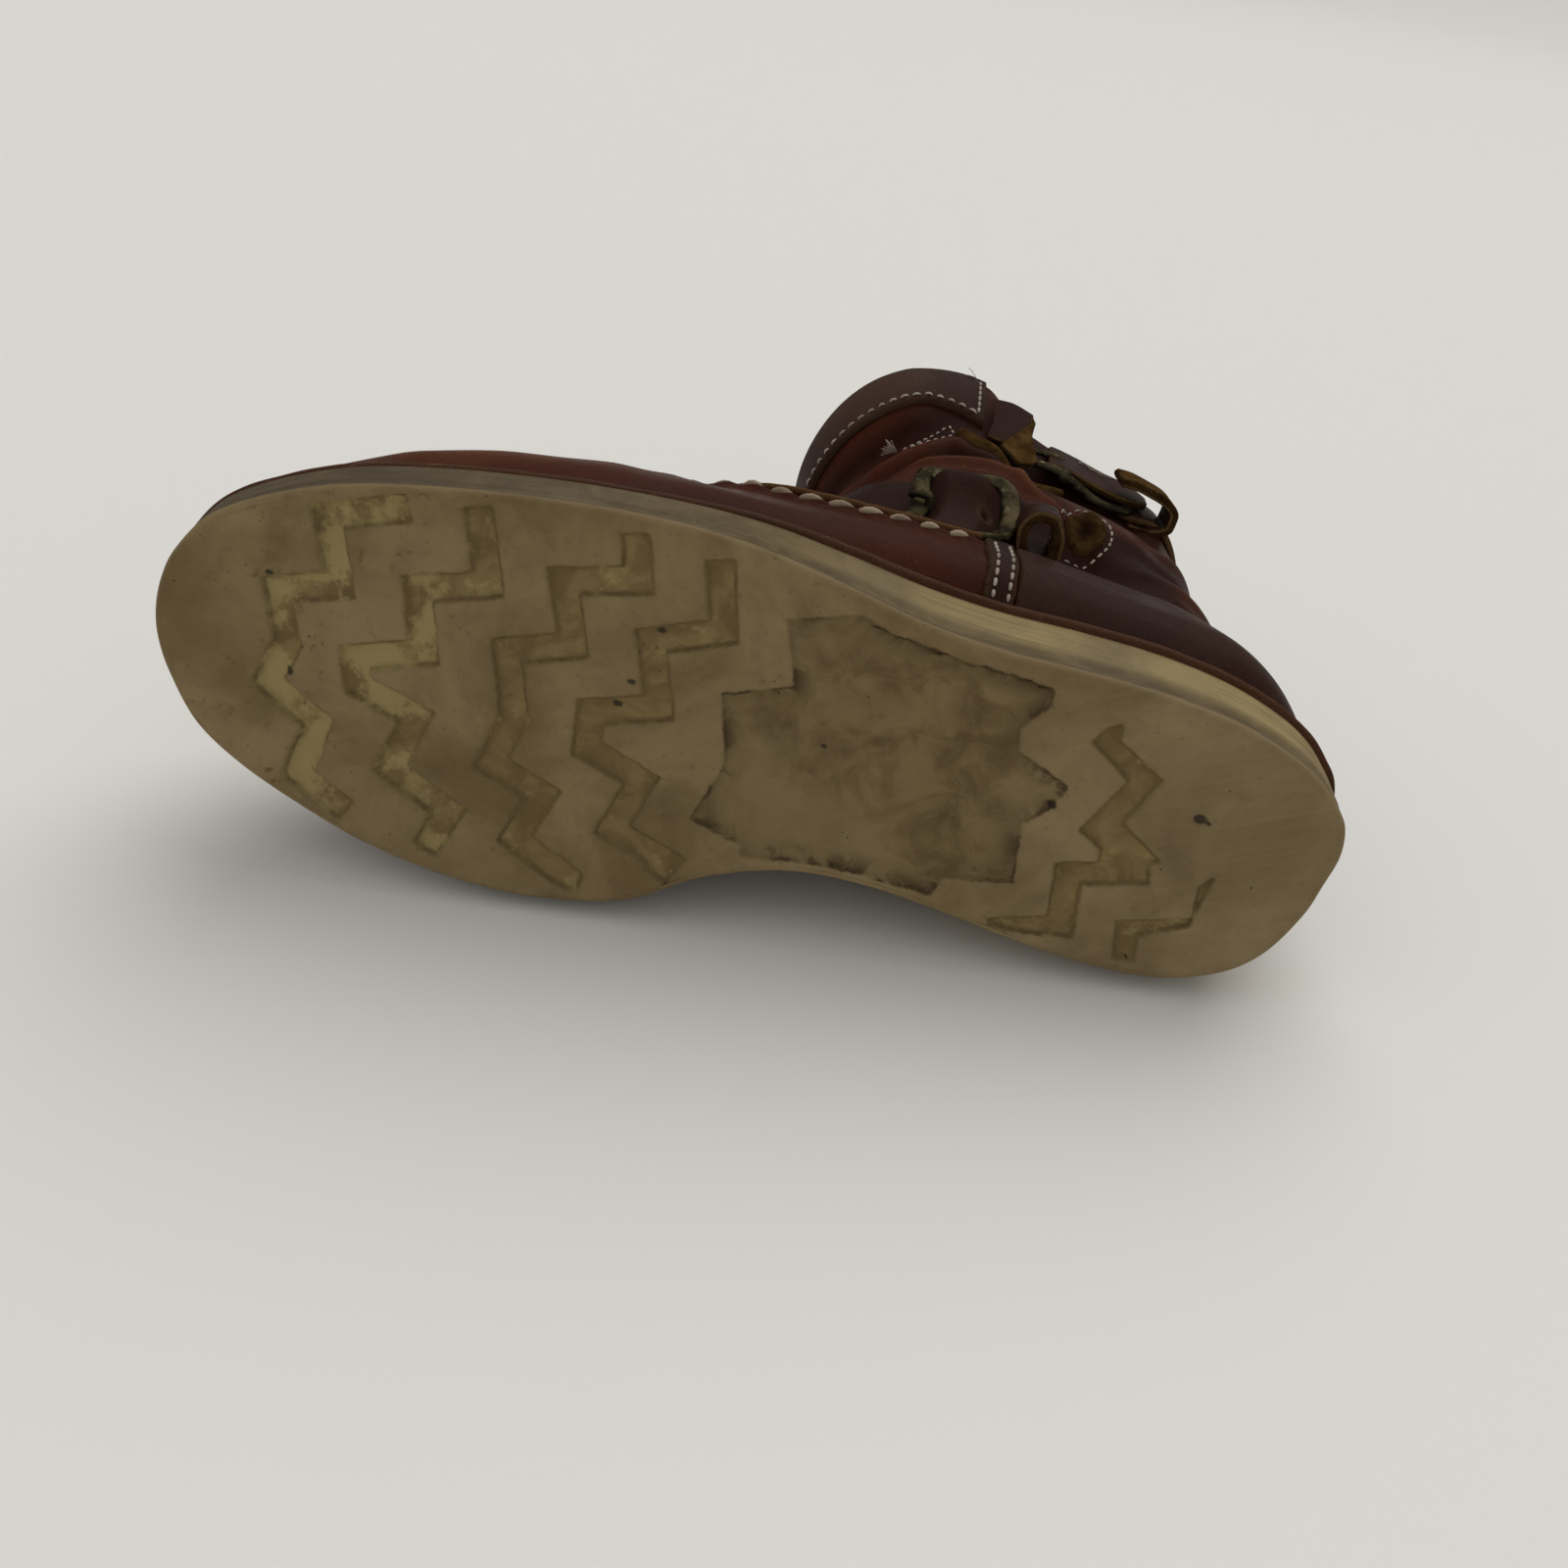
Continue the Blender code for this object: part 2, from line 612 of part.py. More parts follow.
rings = [
    level_ring(FLARE + MIDSOLE_LEDGE * 0.3, lambda x: wedge_top(x) + SEAT_GAP),
    level_ring(FLARE + MIDSOLE_LEDGE, lambda x: wedge_top(x) + SEAT_GAP + MIDSOLE_THICK * 0.4),
    level_ring(FLARE + MIDSOLE_LEDGE * 0.2, midsole_top),
]
v, f = ring_stack(rings)
add_piece("midsole", v, [face[::-1] for face in f], "welt")

inset = FEATHER_INSET + WALL + INSOLE_GAP
rings = [
    level_ring(-inset, lambda x: midsole_top(x) + SEAT_GAP),
    level_ring(-inset, lambda x: midsole_top(x) + SEAT_GAP + INSOLE_THICK),
]
v, f = ring_stack(rings)
add_piece("insole", v, [face[::-1] for face in f], "board")

# upper with its raised seam
seam = rise_of(SEAM_LEVEL)
half_seam = SEAM_HALF / RISE
keys = list(column(LEVELS, 0))
mids = [(keys[i] + keys[i + 1]) / 2 for i in range(10, 15)]
marks = [seam - 2 * half_seam, seam - half_seam, seam, seam + half_seam]
kept = [k for k in keys + mids if k < marks[0] - 0.012 or k > marks[-1] + 0.012]
rises = np.array(sorted(kept + marks))
turns = np.arange(COLUMNS) * 2 * math.pi / COLUMNS
tt, rr = np.meshgrid(turns, rises)
outer = surface(tt, rr)
normal = surface_normal(tt, rr)
for edge in (0, -1):
    flat = normal[edge].copy()
    flat[:, 2] = 0
    normal[edge] = flat / np.linalg.norm(flat, axis=1)[:, None]
fade = np.clip((outer[..., 0] - 0.345 * LENGTH) / (0.02 * LENGTH), 0.0, 1.0)
ridge = np.where(np.abs(rr - seam) < 0.5 * half_seam, 1.0, np.where(np.abs(rr - seam) < 1.2 * half_seam, 0.45, 0.0))
inner = outer - normal * WALL
outer = outer + normal * (ridge * fade * SEAM_RISE)[..., None]
nr = len(rises)
verts = np.vstack([outer.reshape(-1, 3), inner.reshape(-1, 3)])
off = nr * COLUMNS
faces = []
for k in range(nr - 1):
    for i in range(COLUMNS):
        j = (i + 1) % COLUMNS
        a, b, c, d = k * COLUMNS + i, k * COLUMNS + j, (k + 1) * COLUMNS + j, (k + 1) * COLUMNS + i
        faces.append((a, b, c, d))
        faces.append((off + a, off + d, off + c, off + b))
for i in range(COLUMNS):
    j = (i + 1) % COLUMNS
    faces.append((j, i, off + i, off + j))
    a, b = (nr - 1) * COLUMNS + i, (nr - 1) * COLUMNS + j
    faces.append((a, b, off + b, off + a))
add_piece("upper", verts, faces, "leather")

# leather laid over the upper
STRIP_FRONT = 0.330 * LENGTH
STRIP_BACK = STRIP_FRONT - STRIP_WIDTH
COUNTER_FRONT = STRIP_BACK - LAY_GAP
LOW = 0.020


def lateral_turn(x):
    return lambda rise: turn_at(x, rise)


def medial_turn(x):
    return lambda rise: 2 * math.pi - turn_at(x, rise)


def level(value):
    return lambda s: np.full_like(s, value)


counter_top = rise_of(COUNTER_TOP)
overlay("counter", lateral_turn(COUNTER_FRONT), medial_turn(COUNTER_FRONT), level(LOW),
        lambda s: counter_top + 0.03 * np.sin(math.pi * s) ** 2, 43, 5, OVER_GAP, COUNTER_THICK, "dark_leather")
overlay("counter_strip_lateral", lateral_turn(STRIP_FRONT), lateral_turn(STRIP_BACK), level(LOW),
        level(counter_top + 0.012), 3, 8, OVER_GAP, STRIP_THICK, "dark_leather")
overlay("counter_strip_medial", medial_turn(STRIP_BACK), medial_turn(STRIP_FRONT), level(LOW),
        level(counter_top + 0.012), 3, 8, OVER_GAP, STRIP_THICK, "dark_leather")

BAND_END = 0.322 * LENGTH
band_low = rise_of(SHAFT_HEIGHT - BAND_HEIGHT)
overlay("collar_band",
        lambda rise: np.full_like(rise, -math.radians(178)),
        lateral_turn(BAND_END),
        lambda s: band_low - 0.05 * np.clip((s - 0.93) / 0.07, 0.0, 1.0),
        level(0.994), 53, 3, OVER_GAP, BAND_THICK, "dark_leather")

# instep strap set
instep = StrapLine(INSTEP_LINE, INSTEP_BUCKLE_TURN)
half_frame = FRAME_LENGTH / 2
s_start = instep.along[0] + 0.002
s_list = np.concatenate([
    np.linspace(s_start, -half_frame - 0.004, 26)[:-1],
    [-half_frame - 0.004, -half_frame, -0.012, -0.008, -0.0045, -0.0025, 0.0025, 0.0045, 0.008, 0.0125, half_frame],
    np.linspace(half_frame + 0.004, half_frame + 0.020, 6),
])
strap("instep_strap", instep, s_list, STRAP_WIDTH / 2, table_lift(INSTEP_LIFT, FRAME_LENGTH, OVER_GAP), STRAP_THICK,
      "dark_leather", tip=0.010)
strap("instep_chape", instep, np.linspace(-0.006, half_frame + 0.021, 10), STRAP_WIDTH / 2 - 0.002,
      lambda s: np.full_like(s, OVER_GAP), CHAPE_THICK, "dark_leather", cols=4)
frame_plate("instep_buckle", instep, FRAME_LENGTH, FRAME_WIDTH, BAR_WIDTH, SIDE_BAR, CENTRE_BAR,
            table_lift(FRAME_LIFT, FRAME_LENGTH), FRAME_THICK, "metal")
prong_s = np.array([-half_frame - 0.0015, -half_frame + BAR_WIDTH, -0.009, -0.0045, 0.0005])
prong_low = np.array([0.0063, 0.0061, 0.0078, 0.0092, 0.0092]) + LAY_GAP
strap("instep_prong", instep, prong_s, 0.0013, lambda s: np.interp(s, prong_s, prong_low), 0.0018,
      "metal", cols=2)
arch_loop("instep_keeper", instep, half_frame + 0.004, KEEPER_WIDTH * 0.85, STRAP_WIDTH / 2 + 0.0010,
          0.0074, KEEPER_THICK, LAY_GAP, "suede")

# collar strap set
collar = StrapLine(COLLAR_LINE, COLLAR_BUCKLE_TURN)
half_c = COLLAR_FRAME_LENGTH / 2
c_lift = table_lift(COLLAR_LIFT, COLLAR_FRAME_LENGTH)
s_list = np.concatenate([
    [collar.along[0] + 0.0095],
    np.linspace(-0.042, -0.021, 8),
    [-0.0185, -0.0155, -0.0135, -0.0117, -0.0100, -0.0084, -0.0065, -0.0034, 0.0, 0.0025, 0.007, 0.0126],
    np.linspace(half_c - 0.003, half_c + 0.006, 6),
])
strap("collar_strap", collar, s_list, COLLAR_STRAP_WIDTH / 2, c_lift, COLLAR_STRAP_THICK, "strap_leather", tip=0.009)
strap("collar_chape", collar, np.linspace(-0.006, collar.along[-1] - 0.002, 16), COLLAR_STRAP_WIDTH / 2 - 0.001,
      lambda s: np.full_like(s, OVER_GAP), CHAPE_THICK, "strap_leather", cols=4)
frame_plate("collar_buckle", collar, COLLAR_FRAME_LENGTH, COLLAR_FRAME_WIDTH, BAR_WIDTH * 0.8, SIDE_BAR, CENTRE_BAR,
            lambda s: np.full_like(s, 0.0030) + LAY_GAP, FRAME_THICK, "metal")
prong_s = np.array([-half_c - 0.001, -half_c + BAR_WIDTH, -0.0125])
strap("collar_prong", collar, prong_s, 0.0012,
      lambda s: np.interp(s, prong_s, [0.0058, 0.0058, 0.0079]), 0.0016, "metal", cols=2)
arch_loop("collar_keeper", collar, half_c + 0.0012, KEEPER_WIDTH, COLLAR_STRAP_WIDTH / 2 + 0.0016,
          0.0118, KEEPER_THICK, LAY_GAP, "suede")


def groove_prism(rows, width, depth):
    """Closed prism along a corner line, its roof at a set depth over the tread."""
    p = np.array([[r[0] * LENGTH, r[1] * HALF_BALL] for r in rows])
    d = np.diff(p, axis=0)
    d /= np.linalg.norm(d, axis=1)[:, None]
    side = np.stack([-d[:, 1], d[:, 0]], axis=1)
    left = []
    right = []
    for i in range(len(p)):
        if i == 0:
            m = side[0]
        elif i == len(p) - 1:
            m = side[-1]
        else:
            m = side[i - 1] + side[i]
            m /= max(m @ side[i], 0.35)
        left.append(p[i] + m * width / 2)
        right.append(p[i] - m * width / 2)
    return np.array(left), np.array(right), depth


def prism_mesh(left, right, depth):
    n = len(left)
    low = -0.004
    verts = []
    for pts in (left, right):
        for q in pts:
            verts.append((q[0], q[1], low))
        for q in pts:
            verts.append((q[0], q[1], float(spring(q[0])) + depth))
    faces = []
    l0, l1, r0, r1 = 0, n, 2 * n, 3 * n
    for i in range(n - 1):
        faces.append((l1 + i, r1 + i, r1 + i + 1, l1 + i + 1))
        faces.append((l0 + i, l0 + i + 1, r0 + i + 1, r0 + i))
        faces.append((l0 + i, l1 + i, l1 + i + 1, l0 + i + 1))
        faces.append((r0 + i, r0 + i + 1, r1 + i + 1, r1 + i))
    faces.append((l0, r0, r1, l1))
    k = n - 1
    faces.append((l0 + k, l1 + k, r1 + k, r0 + k))
    return np.array(verts), faces


CUTTERS = []
for number, rows in enumerate(GROOVES):
    left, right, depth = groove_prism(rows, GROOVE_WIDTH, GROOVE_DEPTH)
    v, f = prism_mesh(left, right, depth)
    CUTTERS.append(("cut_groove_%d" % (number + 1), v, f))
arch_points = np.array([[r[0] * LENGTH, r[1] * HALF_BALL] for r in ARCH])
n = len(arch_points)
v = [(q[0], q[1], -0.004) for q in arch_points] + [(q[0], q[1], ARCH_DEPTH) for q in arch_points]
f = [tuple(range(n)), tuple(range(2 * n - 1, n - 1, -1))]
for i in range(n):
    j = (i + 1) % n
    f.append((i, n + i, n + j, j))
CUTTERS.append(("cut_arch", np.array(v), f))

# resting place on the medial side
cloud = np.vstack([p["verts"] for p in PIECES])


def solid_moment(piece):
    """Volume and first moment of a closed piece."""
    work = bmesh.new()
    corners = [work.verts.new(q) for q in piece["verts"]]
    for face in piece["faces"]:
        work.faces.new([corners[k] for k in face])
    bmesh.ops.recalc_face_normals(work, faces=work.faces)
    volume = 0.0
    moment = np.zeros(3)
    for face in work.faces:
        pts = [np.array(vert.co) for vert in face.verts]
        for k in range(1, len(pts) - 1):
            a, b, c = pts[0], pts[k], pts[k + 1]
            share = a @ np.cross(b, c) / 6
            volume += share
            moment += share * (a + b + c) / 4
    work.free()
    return abs(volume), moment * np.sign(volume)


moments = [solid_moment(p) for p in PIECES]
centre = sum(m[1] for m in moments) / sum(m[0] for m in moments)
bm = bmesh.new()
for q in cloud:
    bm.verts.new(q)
hull = bmesh.ops.convex_hull(bm, input=bm.verts, use_existing_faces=False)
best = None
for face in [g for g in hull["geom"] if isinstance(g, bmesh.types.BMFace)]:
    normal_f = face.normal
    if abs(normal_f.y) < 1e-6:
        continue
    tri = [np.array(vert.co) for vert in face.verts]
    a, b, c = (np.array([q[0], q[2]]) for q in tri[:3])
    m = np.array([b - a, c - a]).T
    if abs(np.linalg.det(m)) < 1e-12:
        continue
    k = np.linalg.solve(m, np.array([centre[0], centre[2]]) - a)
    if k[0] < -1e-9 or k[1] < -1e-9 or k.sum() > 1 + 1e-9:
        continue
    y = tri[0][1] + k[0] * (tri[1][1] - tri[0][1]) + k[1] * (tri[2][1] - tri[0][1])
    if best is None or y < best[0]:
        nn = np.cross(tri[1] - tri[0], tri[2] - tri[0])
        nn /= np.linalg.norm(nn)
        if nn[1] < 0:
            nn = -nn
        best = (y, nn, tri[0])
bm.free()
up = best[1]
ahead = np.array([-1.0, 0.0, 0.0])
ahead = ahead - up * (ahead @ up)
ahead /= np.linalg.norm(ahead)
sidewise = np.cross(up, ahead)
basis = np.array([ahead, sidewise, up])
turned = cloud @ basis.T
lo = turned.min(axis=0)
hi = turned.max(axis=0)
origin = np.array([(lo[0] + hi[0]) / 2, (lo[1] + hi[1]) / 2, lo[2]])


def laid(points):
    return np.asarray(points) @ basis.T - origin


# scene objects
for old in list(bpy.data.objects):
    bpy.data.objects.remove(old, do_unlink=True)
main = bpy.data.collections.new("engineer_boot")
tools = bpy.data.collections.new("cutters")
bpy.context.scene.collection.children.link(main)
bpy.context.scene.collection.children.link(tools)

LOOKS = {
    "rubber": ((0.47, 0.40, 0.27, 1), 0.0, 0.75),
    "welt": ((0.16, 0.08, 0.05, 1), 0.0, 0.55),
    "board": ((0.45, 0.33, 0.21, 1), 0.0, 0.8),
    "leather": ((0.20, 0.055, 0.028, 1), 0.0, 0.38),
    "dark_leather": ((0.085, 0.030, 0.022, 1), 0.0, 0.36),
    "strap_leather": ((0.13, 0.045, 0.030, 1), 0.0, 0.45),
    "suede": ((0.33, 0.20, 0.085, 1), 0.0, 0.9),
    "metal": ((0.33, 0.32, 0.24, 1), 1.0, 0.42),
}


def make_material(name, look):
    colour, metallic, rough = LOOKS[look]
    mat = bpy.data.materials.new(name + "_mat")
    mat.use_nodes = True
    shader = mat.node_tree.nodes["Principled BSDF"]
    shader.inputs["Base Color"].default_value = colour
    shader.inputs["Metallic"].default_value = metallic
    shader.inputs["Roughness"].default_value = rough
    return mat


def make_object(name, verts, faces, collection):
    mesh = bpy.data.meshes.new(name)
    mesh.from_pydata([tuple(q) for q in laid(verts)], [], [tuple(face) for face in faces])
    mesh.validate()
    work = bmesh.new()
    work.from_mesh(mesh)
    bmesh.ops.recalc_face_normals(work, faces=work.faces)
    work.to_mesh(mesh)
    work.free()
    obj = bpy.data.objects.new(name, mesh)
    collection.objects.link(obj)
    return obj


cutters = [make_object(name, v, f, tools) for name, v, f in CUTTERS]
for obj in cutters:
    obj.hide_render = True
    obj.display_type = "WIRE"

for piece in PIECES:
    obj = make_object(piece["name"], piece["verts"], piece["faces"], main)
    obj.data.materials.append(make_material(piece["name"], piece["look"]))
    if piece["name"] == "outsole":
        for cutter in cutters:
            cut = obj.modifiers.new(cutter.name, "BOOLEAN")
            cut.operation = "DIFFERENCE"
            cut.solver = "EXACT"
            cut.object = cutter
    if piece["bevel"] > 0:
        bevel = obj.modifiers.new("edge", "BEVEL")
        bevel.width = piece["bevel"]
        bevel.segments = 1
        bevel.limit_method = "ANGLE"
        bevel.angle_limit = math.radians(50)
    bpy.context.view_layer.objects.active = obj
    obj.select_set(True)
    if piece["look"] in ("rubber",):
        bpy.ops.object.shade_smooth()
        obj.data.set_sharp_from_angle(angle=math.radians(35))
    else:
        bpy.ops.object.shade_smooth()
        obj.data.set_sharp_from_angle(angle=math.radians(50))
    obj.select_set(False)
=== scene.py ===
import json
import math
import bpy
import bmesh
import numpy as np
from mathutils import Matrix, Vector, noise


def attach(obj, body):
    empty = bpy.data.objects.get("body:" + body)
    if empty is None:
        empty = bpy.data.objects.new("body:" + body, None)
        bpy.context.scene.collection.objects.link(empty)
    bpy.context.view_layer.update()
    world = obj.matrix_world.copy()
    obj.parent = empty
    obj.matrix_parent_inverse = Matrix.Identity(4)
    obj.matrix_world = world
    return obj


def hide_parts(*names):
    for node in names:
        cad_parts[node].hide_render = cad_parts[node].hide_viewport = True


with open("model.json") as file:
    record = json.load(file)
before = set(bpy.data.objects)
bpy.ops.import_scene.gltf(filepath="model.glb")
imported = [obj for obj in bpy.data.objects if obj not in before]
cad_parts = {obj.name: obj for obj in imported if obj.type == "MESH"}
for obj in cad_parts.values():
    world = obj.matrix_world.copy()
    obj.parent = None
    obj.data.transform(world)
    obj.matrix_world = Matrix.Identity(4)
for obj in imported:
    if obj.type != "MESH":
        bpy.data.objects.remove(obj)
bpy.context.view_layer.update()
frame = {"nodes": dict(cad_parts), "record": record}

# named sizes of sole and upper in metres, the same as the part's
LENGTH = 0.3056
BALL_WIDTH = 0.1073
SHAFT_HEIGHT = 0.182
VAMP_BASE = 0.026
SOLE_HEEL = 0.0262
SOLE_BALL = 0.0165
SOLE_TOE = 0.0145
TOE_SPRING = 0.008
EDGE_ROUND = 0.0018
SOLE_FLARE = 0.0012
HEEL_FLARE = 0.0016
MIDSOLE_THICK = 0.0036
MIDSOLE_LEDGE = 0.0006
GROOVE_WIDTH = 0.0078
GROOVE_DEPTH = 0.0021
ARCH_DEPTH = 0.0016
SEAT_GAP = 0.0002
FEATHER_INSET = 0.0042
WALL = 0.0022
SEAM_LEVEL = 0.064
CINCH = 0.0175
COUNTER_TOP = 0.0635
STRIP_WIDTH = 0.0085
BAND_HEIGHT = 0.021
STRAP_WIDTH = 0.025
# straps and buckles in metres, the instep frame as it looks in the photo
FRAME_LENGTH = 0.0315
FRAME_WIDTH = 0.0315
FRAME_END = 0.0056
FRAME_SIDE = 0.0030
FRAME_THICK = 0.0024
CENTRE_BAR_RADIUS = 0.0035 / 2 * 0.82
COLLAR_STRAP_WIDTH = 0.020
COLLAR_FRAME_WIDTH = 0.0288
COLLAR_FRAME_END = 0.0042
COLLAR_FRAME_SIDE = 0.0030
COLLAR_FRAME_THICK = 0.0028
ROLLER_RADIUS = 0.0021
PIN_RADIUS = 0.0012
# leather in metres
COUNTER_THICK = 0.0018
STRIP_THICK = 0.0017
STRAP_THICK = 0.0028
CHAPE_THICK = 0.0022
BILLET_THICK = 0.0024
KEEPER_THICK = 0.0034
COLLAR_KEEPER_THICK = 0.0030
# the heel's flat place of the tread, in metres from the heel tip and from the middle line
TREAD_HEEL_X = 0.033
TREAD_HEEL_Y = 0.004

# folds, lacing, thread and rounded edges in metres
FOLD_DEPTH = 0.0016
LACE_RADIUS = 0.00155
THREAD_RADIUS = 0.00050
FINE_THREAD_RADIUS = 0.00034
STITCH_LENGTH = 0.0026
STITCH_ARCH = 0.7
FRAY_RADIUS = 0.00011
FINE_STITCH_LENGTH = 0.0021
JOIN_DISTANCE = 2e-6
EDGE_SOFT = 0.0011

HALF_BALL = BALL_WIDTH / 2
RISE = SHAFT_HEIGHT - VAMP_BASE

# boot axes in the shared frame, from the two flat places of the tread
mounts = {m["name"]: m for m in frame["record"]["mounts"]}
heel_point = np.array(mounts["tread_heel"]["pos_m"], float)
fore_point = np.array(mounts["tread_forefoot"]["pos_m"], float)
UP = -np.array(mounts["tread_heel"]["axis"], float)
UP /= np.linalg.norm(UP)
AHEAD = fore_point - heel_point
AHEAD -= UP * (AHEAD @ UP)
AHEAD /= np.linalg.norm(AHEAD)
ASIDE = np.cross(UP, AHEAD)
BOOT = np.array([AHEAD, ASIDE, UP])
BOOT_ORIGIN = heel_point - AHEAD * TREAD_HEEL_X - ASIDE * TREAD_HEEL_Y


def laid(points):
    """Boot coordinates to the shared frame."""
    return np.asarray(points, float) @ BOOT + BOOT_ORIGIN


# sole outline from heel to toe: lateral x, lateral y, medial x, medial y
# x as share of length, y as share of half the ball width
OUTLINE = [
    (0.000, 0.158, 0.000, 0.158),
    (0.005, 0.302, 0.004, 0.000),
    (0.017, 0.391, 0.011, -0.190),
    (0.040, 0.507, 0.031, -0.429),
    (0.073, 0.602, 0.062, -0.583),
    (0.121, 0.686, 0.111, -0.678),
    (0.180, 0.738, 0.170, -0.690),
    (0.248, 0.760, 0.239, -0.652),
    (0.321, 0.770, 0.311, -0.582),
    (0.386, 0.813, 0.380, -0.535),
    (0.452, 0.895, 0.445, -0.552),
    (0.518, 0.969, 0.511, -0.680),
    (0.583, 1.001, 0.576, -0.902),
    (0.655, 0.992, 0.655, -0.990),
    (0.727, 0.953, 0.727, -0.979),
    (0.796, 0.893, 0.796, -0.908),
    (0.860, 0.805, 0.860, -0.790),
    (0.918, 0.665, 0.915, -0.661),
    (0.961, 0.508, 0.956, -0.514),
    (0.987, 0.311, 0.983, -0.308),
    (0.997, 0.159, 0.996, -0.145),
    (1.000, 0.002, 1.000, 0.002),
]

# widest line of the upper: x as share of length, lateral, medial, lean as share of half the ball width
BODY = [
    (0.00, 0.78, -0.57, 0.00),
    (0.13, 0.83, -0.60, 0.00),
    (0.28, 0.93, -0.66, 0.00),
    (0.41, 0.99, -0.71, 0.02),
    (0.55, 1.01, -0.79, 0.07),
    (0.65, 1.02, -0.87, 0.10),
    (0.74, 0.97, -0.87, 0.11),
    (0.82, 0.88, -0.82, 0.11),
    (0.90, 0.78, -0.75, 0.10),
    (1.00, 0.70, -0.67, 0.08),
]

# upper, a row per level, shares as in the part
LEVELS = [
    # rise, front, back, capf, capb, follow, fill, shaft, lateral, medial, centre, cinch, lean
    (0.000, 0.984, 0.014, 0.163, 0.119, 1.00, 0.00, 0.0, 1.10, -0.72, 0.06, 0.0, 0.00),
    (0.045, 0.996, 0.003, 0.170, 0.124, 0.75, 0.50, 0.0, 1.10, -0.72, 0.06, 0.0, 0.00),
    (0.096, 0.996, 0.000, 0.178, 0.129, 0.45, 0.85, 0.0, 1.10, -0.72, 0.06, 0.0, 0.00),
    (0.154, 0.983, 0.001, 0.203, 0.137, 0.15, 1.00, 0.0, 1.10, -0.72, 0.06, 0.0, 0.30),
    (0.200, 0.954, 0.004, 0.242, 0.144, 0.00, 1.00, 0.0, 1.10, -0.72, 0.06, 0.0, 0.65),
    (0.237, 0.899, 0.010, 0.287, 0.154, 0.00, 1.00, 0.0, 1.10, -0.72, 0.06, 0.0, 1.00),
    (0.269, 0.833, 0.016, 0.317, 0.164, 0.00, 1.00, 0.0, 1.10, -0.72, 0.07, 0.0, 1.00),
    (0.298, 0.760, 0.021, 0.326, 0.172, 0.00, 1.00, 0.15, 1.000, -0.450, 0.08, 0.0, 1.00),
    (0.333, 0.685, 0.027, 0.326, 0.178, 0.00, 1.00, 0.35, 1.000, -0.470, 0.10, 0.0, 1.00),
    (0.375, 0.617, 0.034, 0.255, 0.185, 0.00, 1.00, 0.60, 1.000, -0.490, 0.12, 0.0, 1.00),
    (0.430, 0.560, 0.041, 0.220, 0.191, 0.00, 1.00, 0.80, 1.020, -0.505, 0.15, 0.05, 1.00),
    (0.494, 0.517, 0.049, 0.208, 0.195, 0.00, 1.00, 0.90, 1.070, -0.500, 0.20, 0.15, 1.00),
    (0.564, 0.489, 0.057, 0.204, 0.195, 0.00, 1.00, 1.00, 1.125, -0.495, 0.26, 0.32, 1.00),
    (0.647, 0.473, 0.065, 0.214, 0.196, 0.00, 1.00, 1.00, 1.220, -0.475, 0.34, 0.55, 1.00),
    (0.737, 0.470, 0.070, 0.204, 0.197, 0.00, 1.00, 1.00, 1.310, -0.455, 0.40, 0.80, 1.00),
    (0.846, 0.481, 0.075, 0.203, 0.201, 0.00, 1.00, 1.00, 1.410, -0.430, 0.47, 1.0, 1.00),
    (1.000, 0.495, 0.082, 0.206, 0.206, 0.00, 1.00, 1.00, 1.510, -0.380, 0.55, 1.0, 1.00),
]

# draw of the strap on the lateral shaft wall: x as share of length, share of full depth
CINCH_LINE = [(0.07, 0.0), (0.10, 0.22), (0.15, 0.85), (0.21, 1.0), (0.27, 0.86), (0.32, 0.25), (0.40, 0.0)]

# sole heights: x as share of length, heel share, ball share
WEDGE_TOP = [
    (0.00, 1.00, 0.00),
    (0.20, 0.99, 0.00),
    (0.35, 0.88, 0.05),
    (0.50, 0.45, 0.45),
    (0.66, 0.00, 1.00),
    (0.83, 0.00, 0.90),
    (1.00, 0.00, 0.00),
]
SPRING = [(0.00, 0.0), (0.70, 0.0), (0.80, 0.08), (0.90, 0.42), (1.00, 1.0)]

# tread, corner rows of the groove centre lines: x as share of length, y as share of half the ball width
GROOVES = [
    [(0.799, 0.793), (0.863, 0.659), (0.847, 0.355), (0.897, 0.259), (0.884, 0.018),
     (0.897, -0.201), (0.851, -0.341), (0.864, -0.621), (0.818, -0.755)],
    [(0.747, 0.876), (0.730, 0.527), (0.785, 0.427), (0.772, 0.138), (0.828, 0.027),
     (0.822, -0.100), (0.771, -0.189), (0.787, -0.475), (0.733, -0.628), (0.749, -0.866)],
    [(0.624, 0.920), (0.614, 0.705), (0.672, 0.624), (0.656, 0.337), (0.707, 0.236),
     (0.692, -0.076), (0.705, -0.333), (0.658, -0.434), (0.675, -0.695), (0.625, -0.839), (0.627, -0.900)],
    [(0.555, 0.890), (0.540, 0.561), (0.595, 0.440), (0.578, 0.129), (0.632, 0.037),
     (0.630, -0.145), (0.580, -0.252), (0.596, -0.531), (0.545, -0.636), (0.553, -0.735)],
]
# heel grooves, corners all the way round in the same shares
HEEL_GROOVES = [
    [(0.224, 0.524), (0.209, 0.578), (0.207, 0.486), (0.163, 0.337), (0.182, 0.087), (0.141, -0.064),
     (0.149, -0.098),
     (0.144, -0.196), (0.199, -0.279), (0.192, -0.566), (0.240, -0.600), (0.268, -0.598), (0.270, -0.550),
     (0.221, -0.470),
     (0.228, -0.189), (0.195, -0.130), (0.195, -0.075), (0.219, -0.008), (0.193, 0.289), (0.231, 0.439)],
    [(0.164, -0.413), (0.103, -0.316), (0.106, -0.146), (0.092, -0.047), (0.096, -0.201), (0.100, -0.368),
     (0.138, -0.476), (0.135, -0.610), (0.155, -0.640)],
]
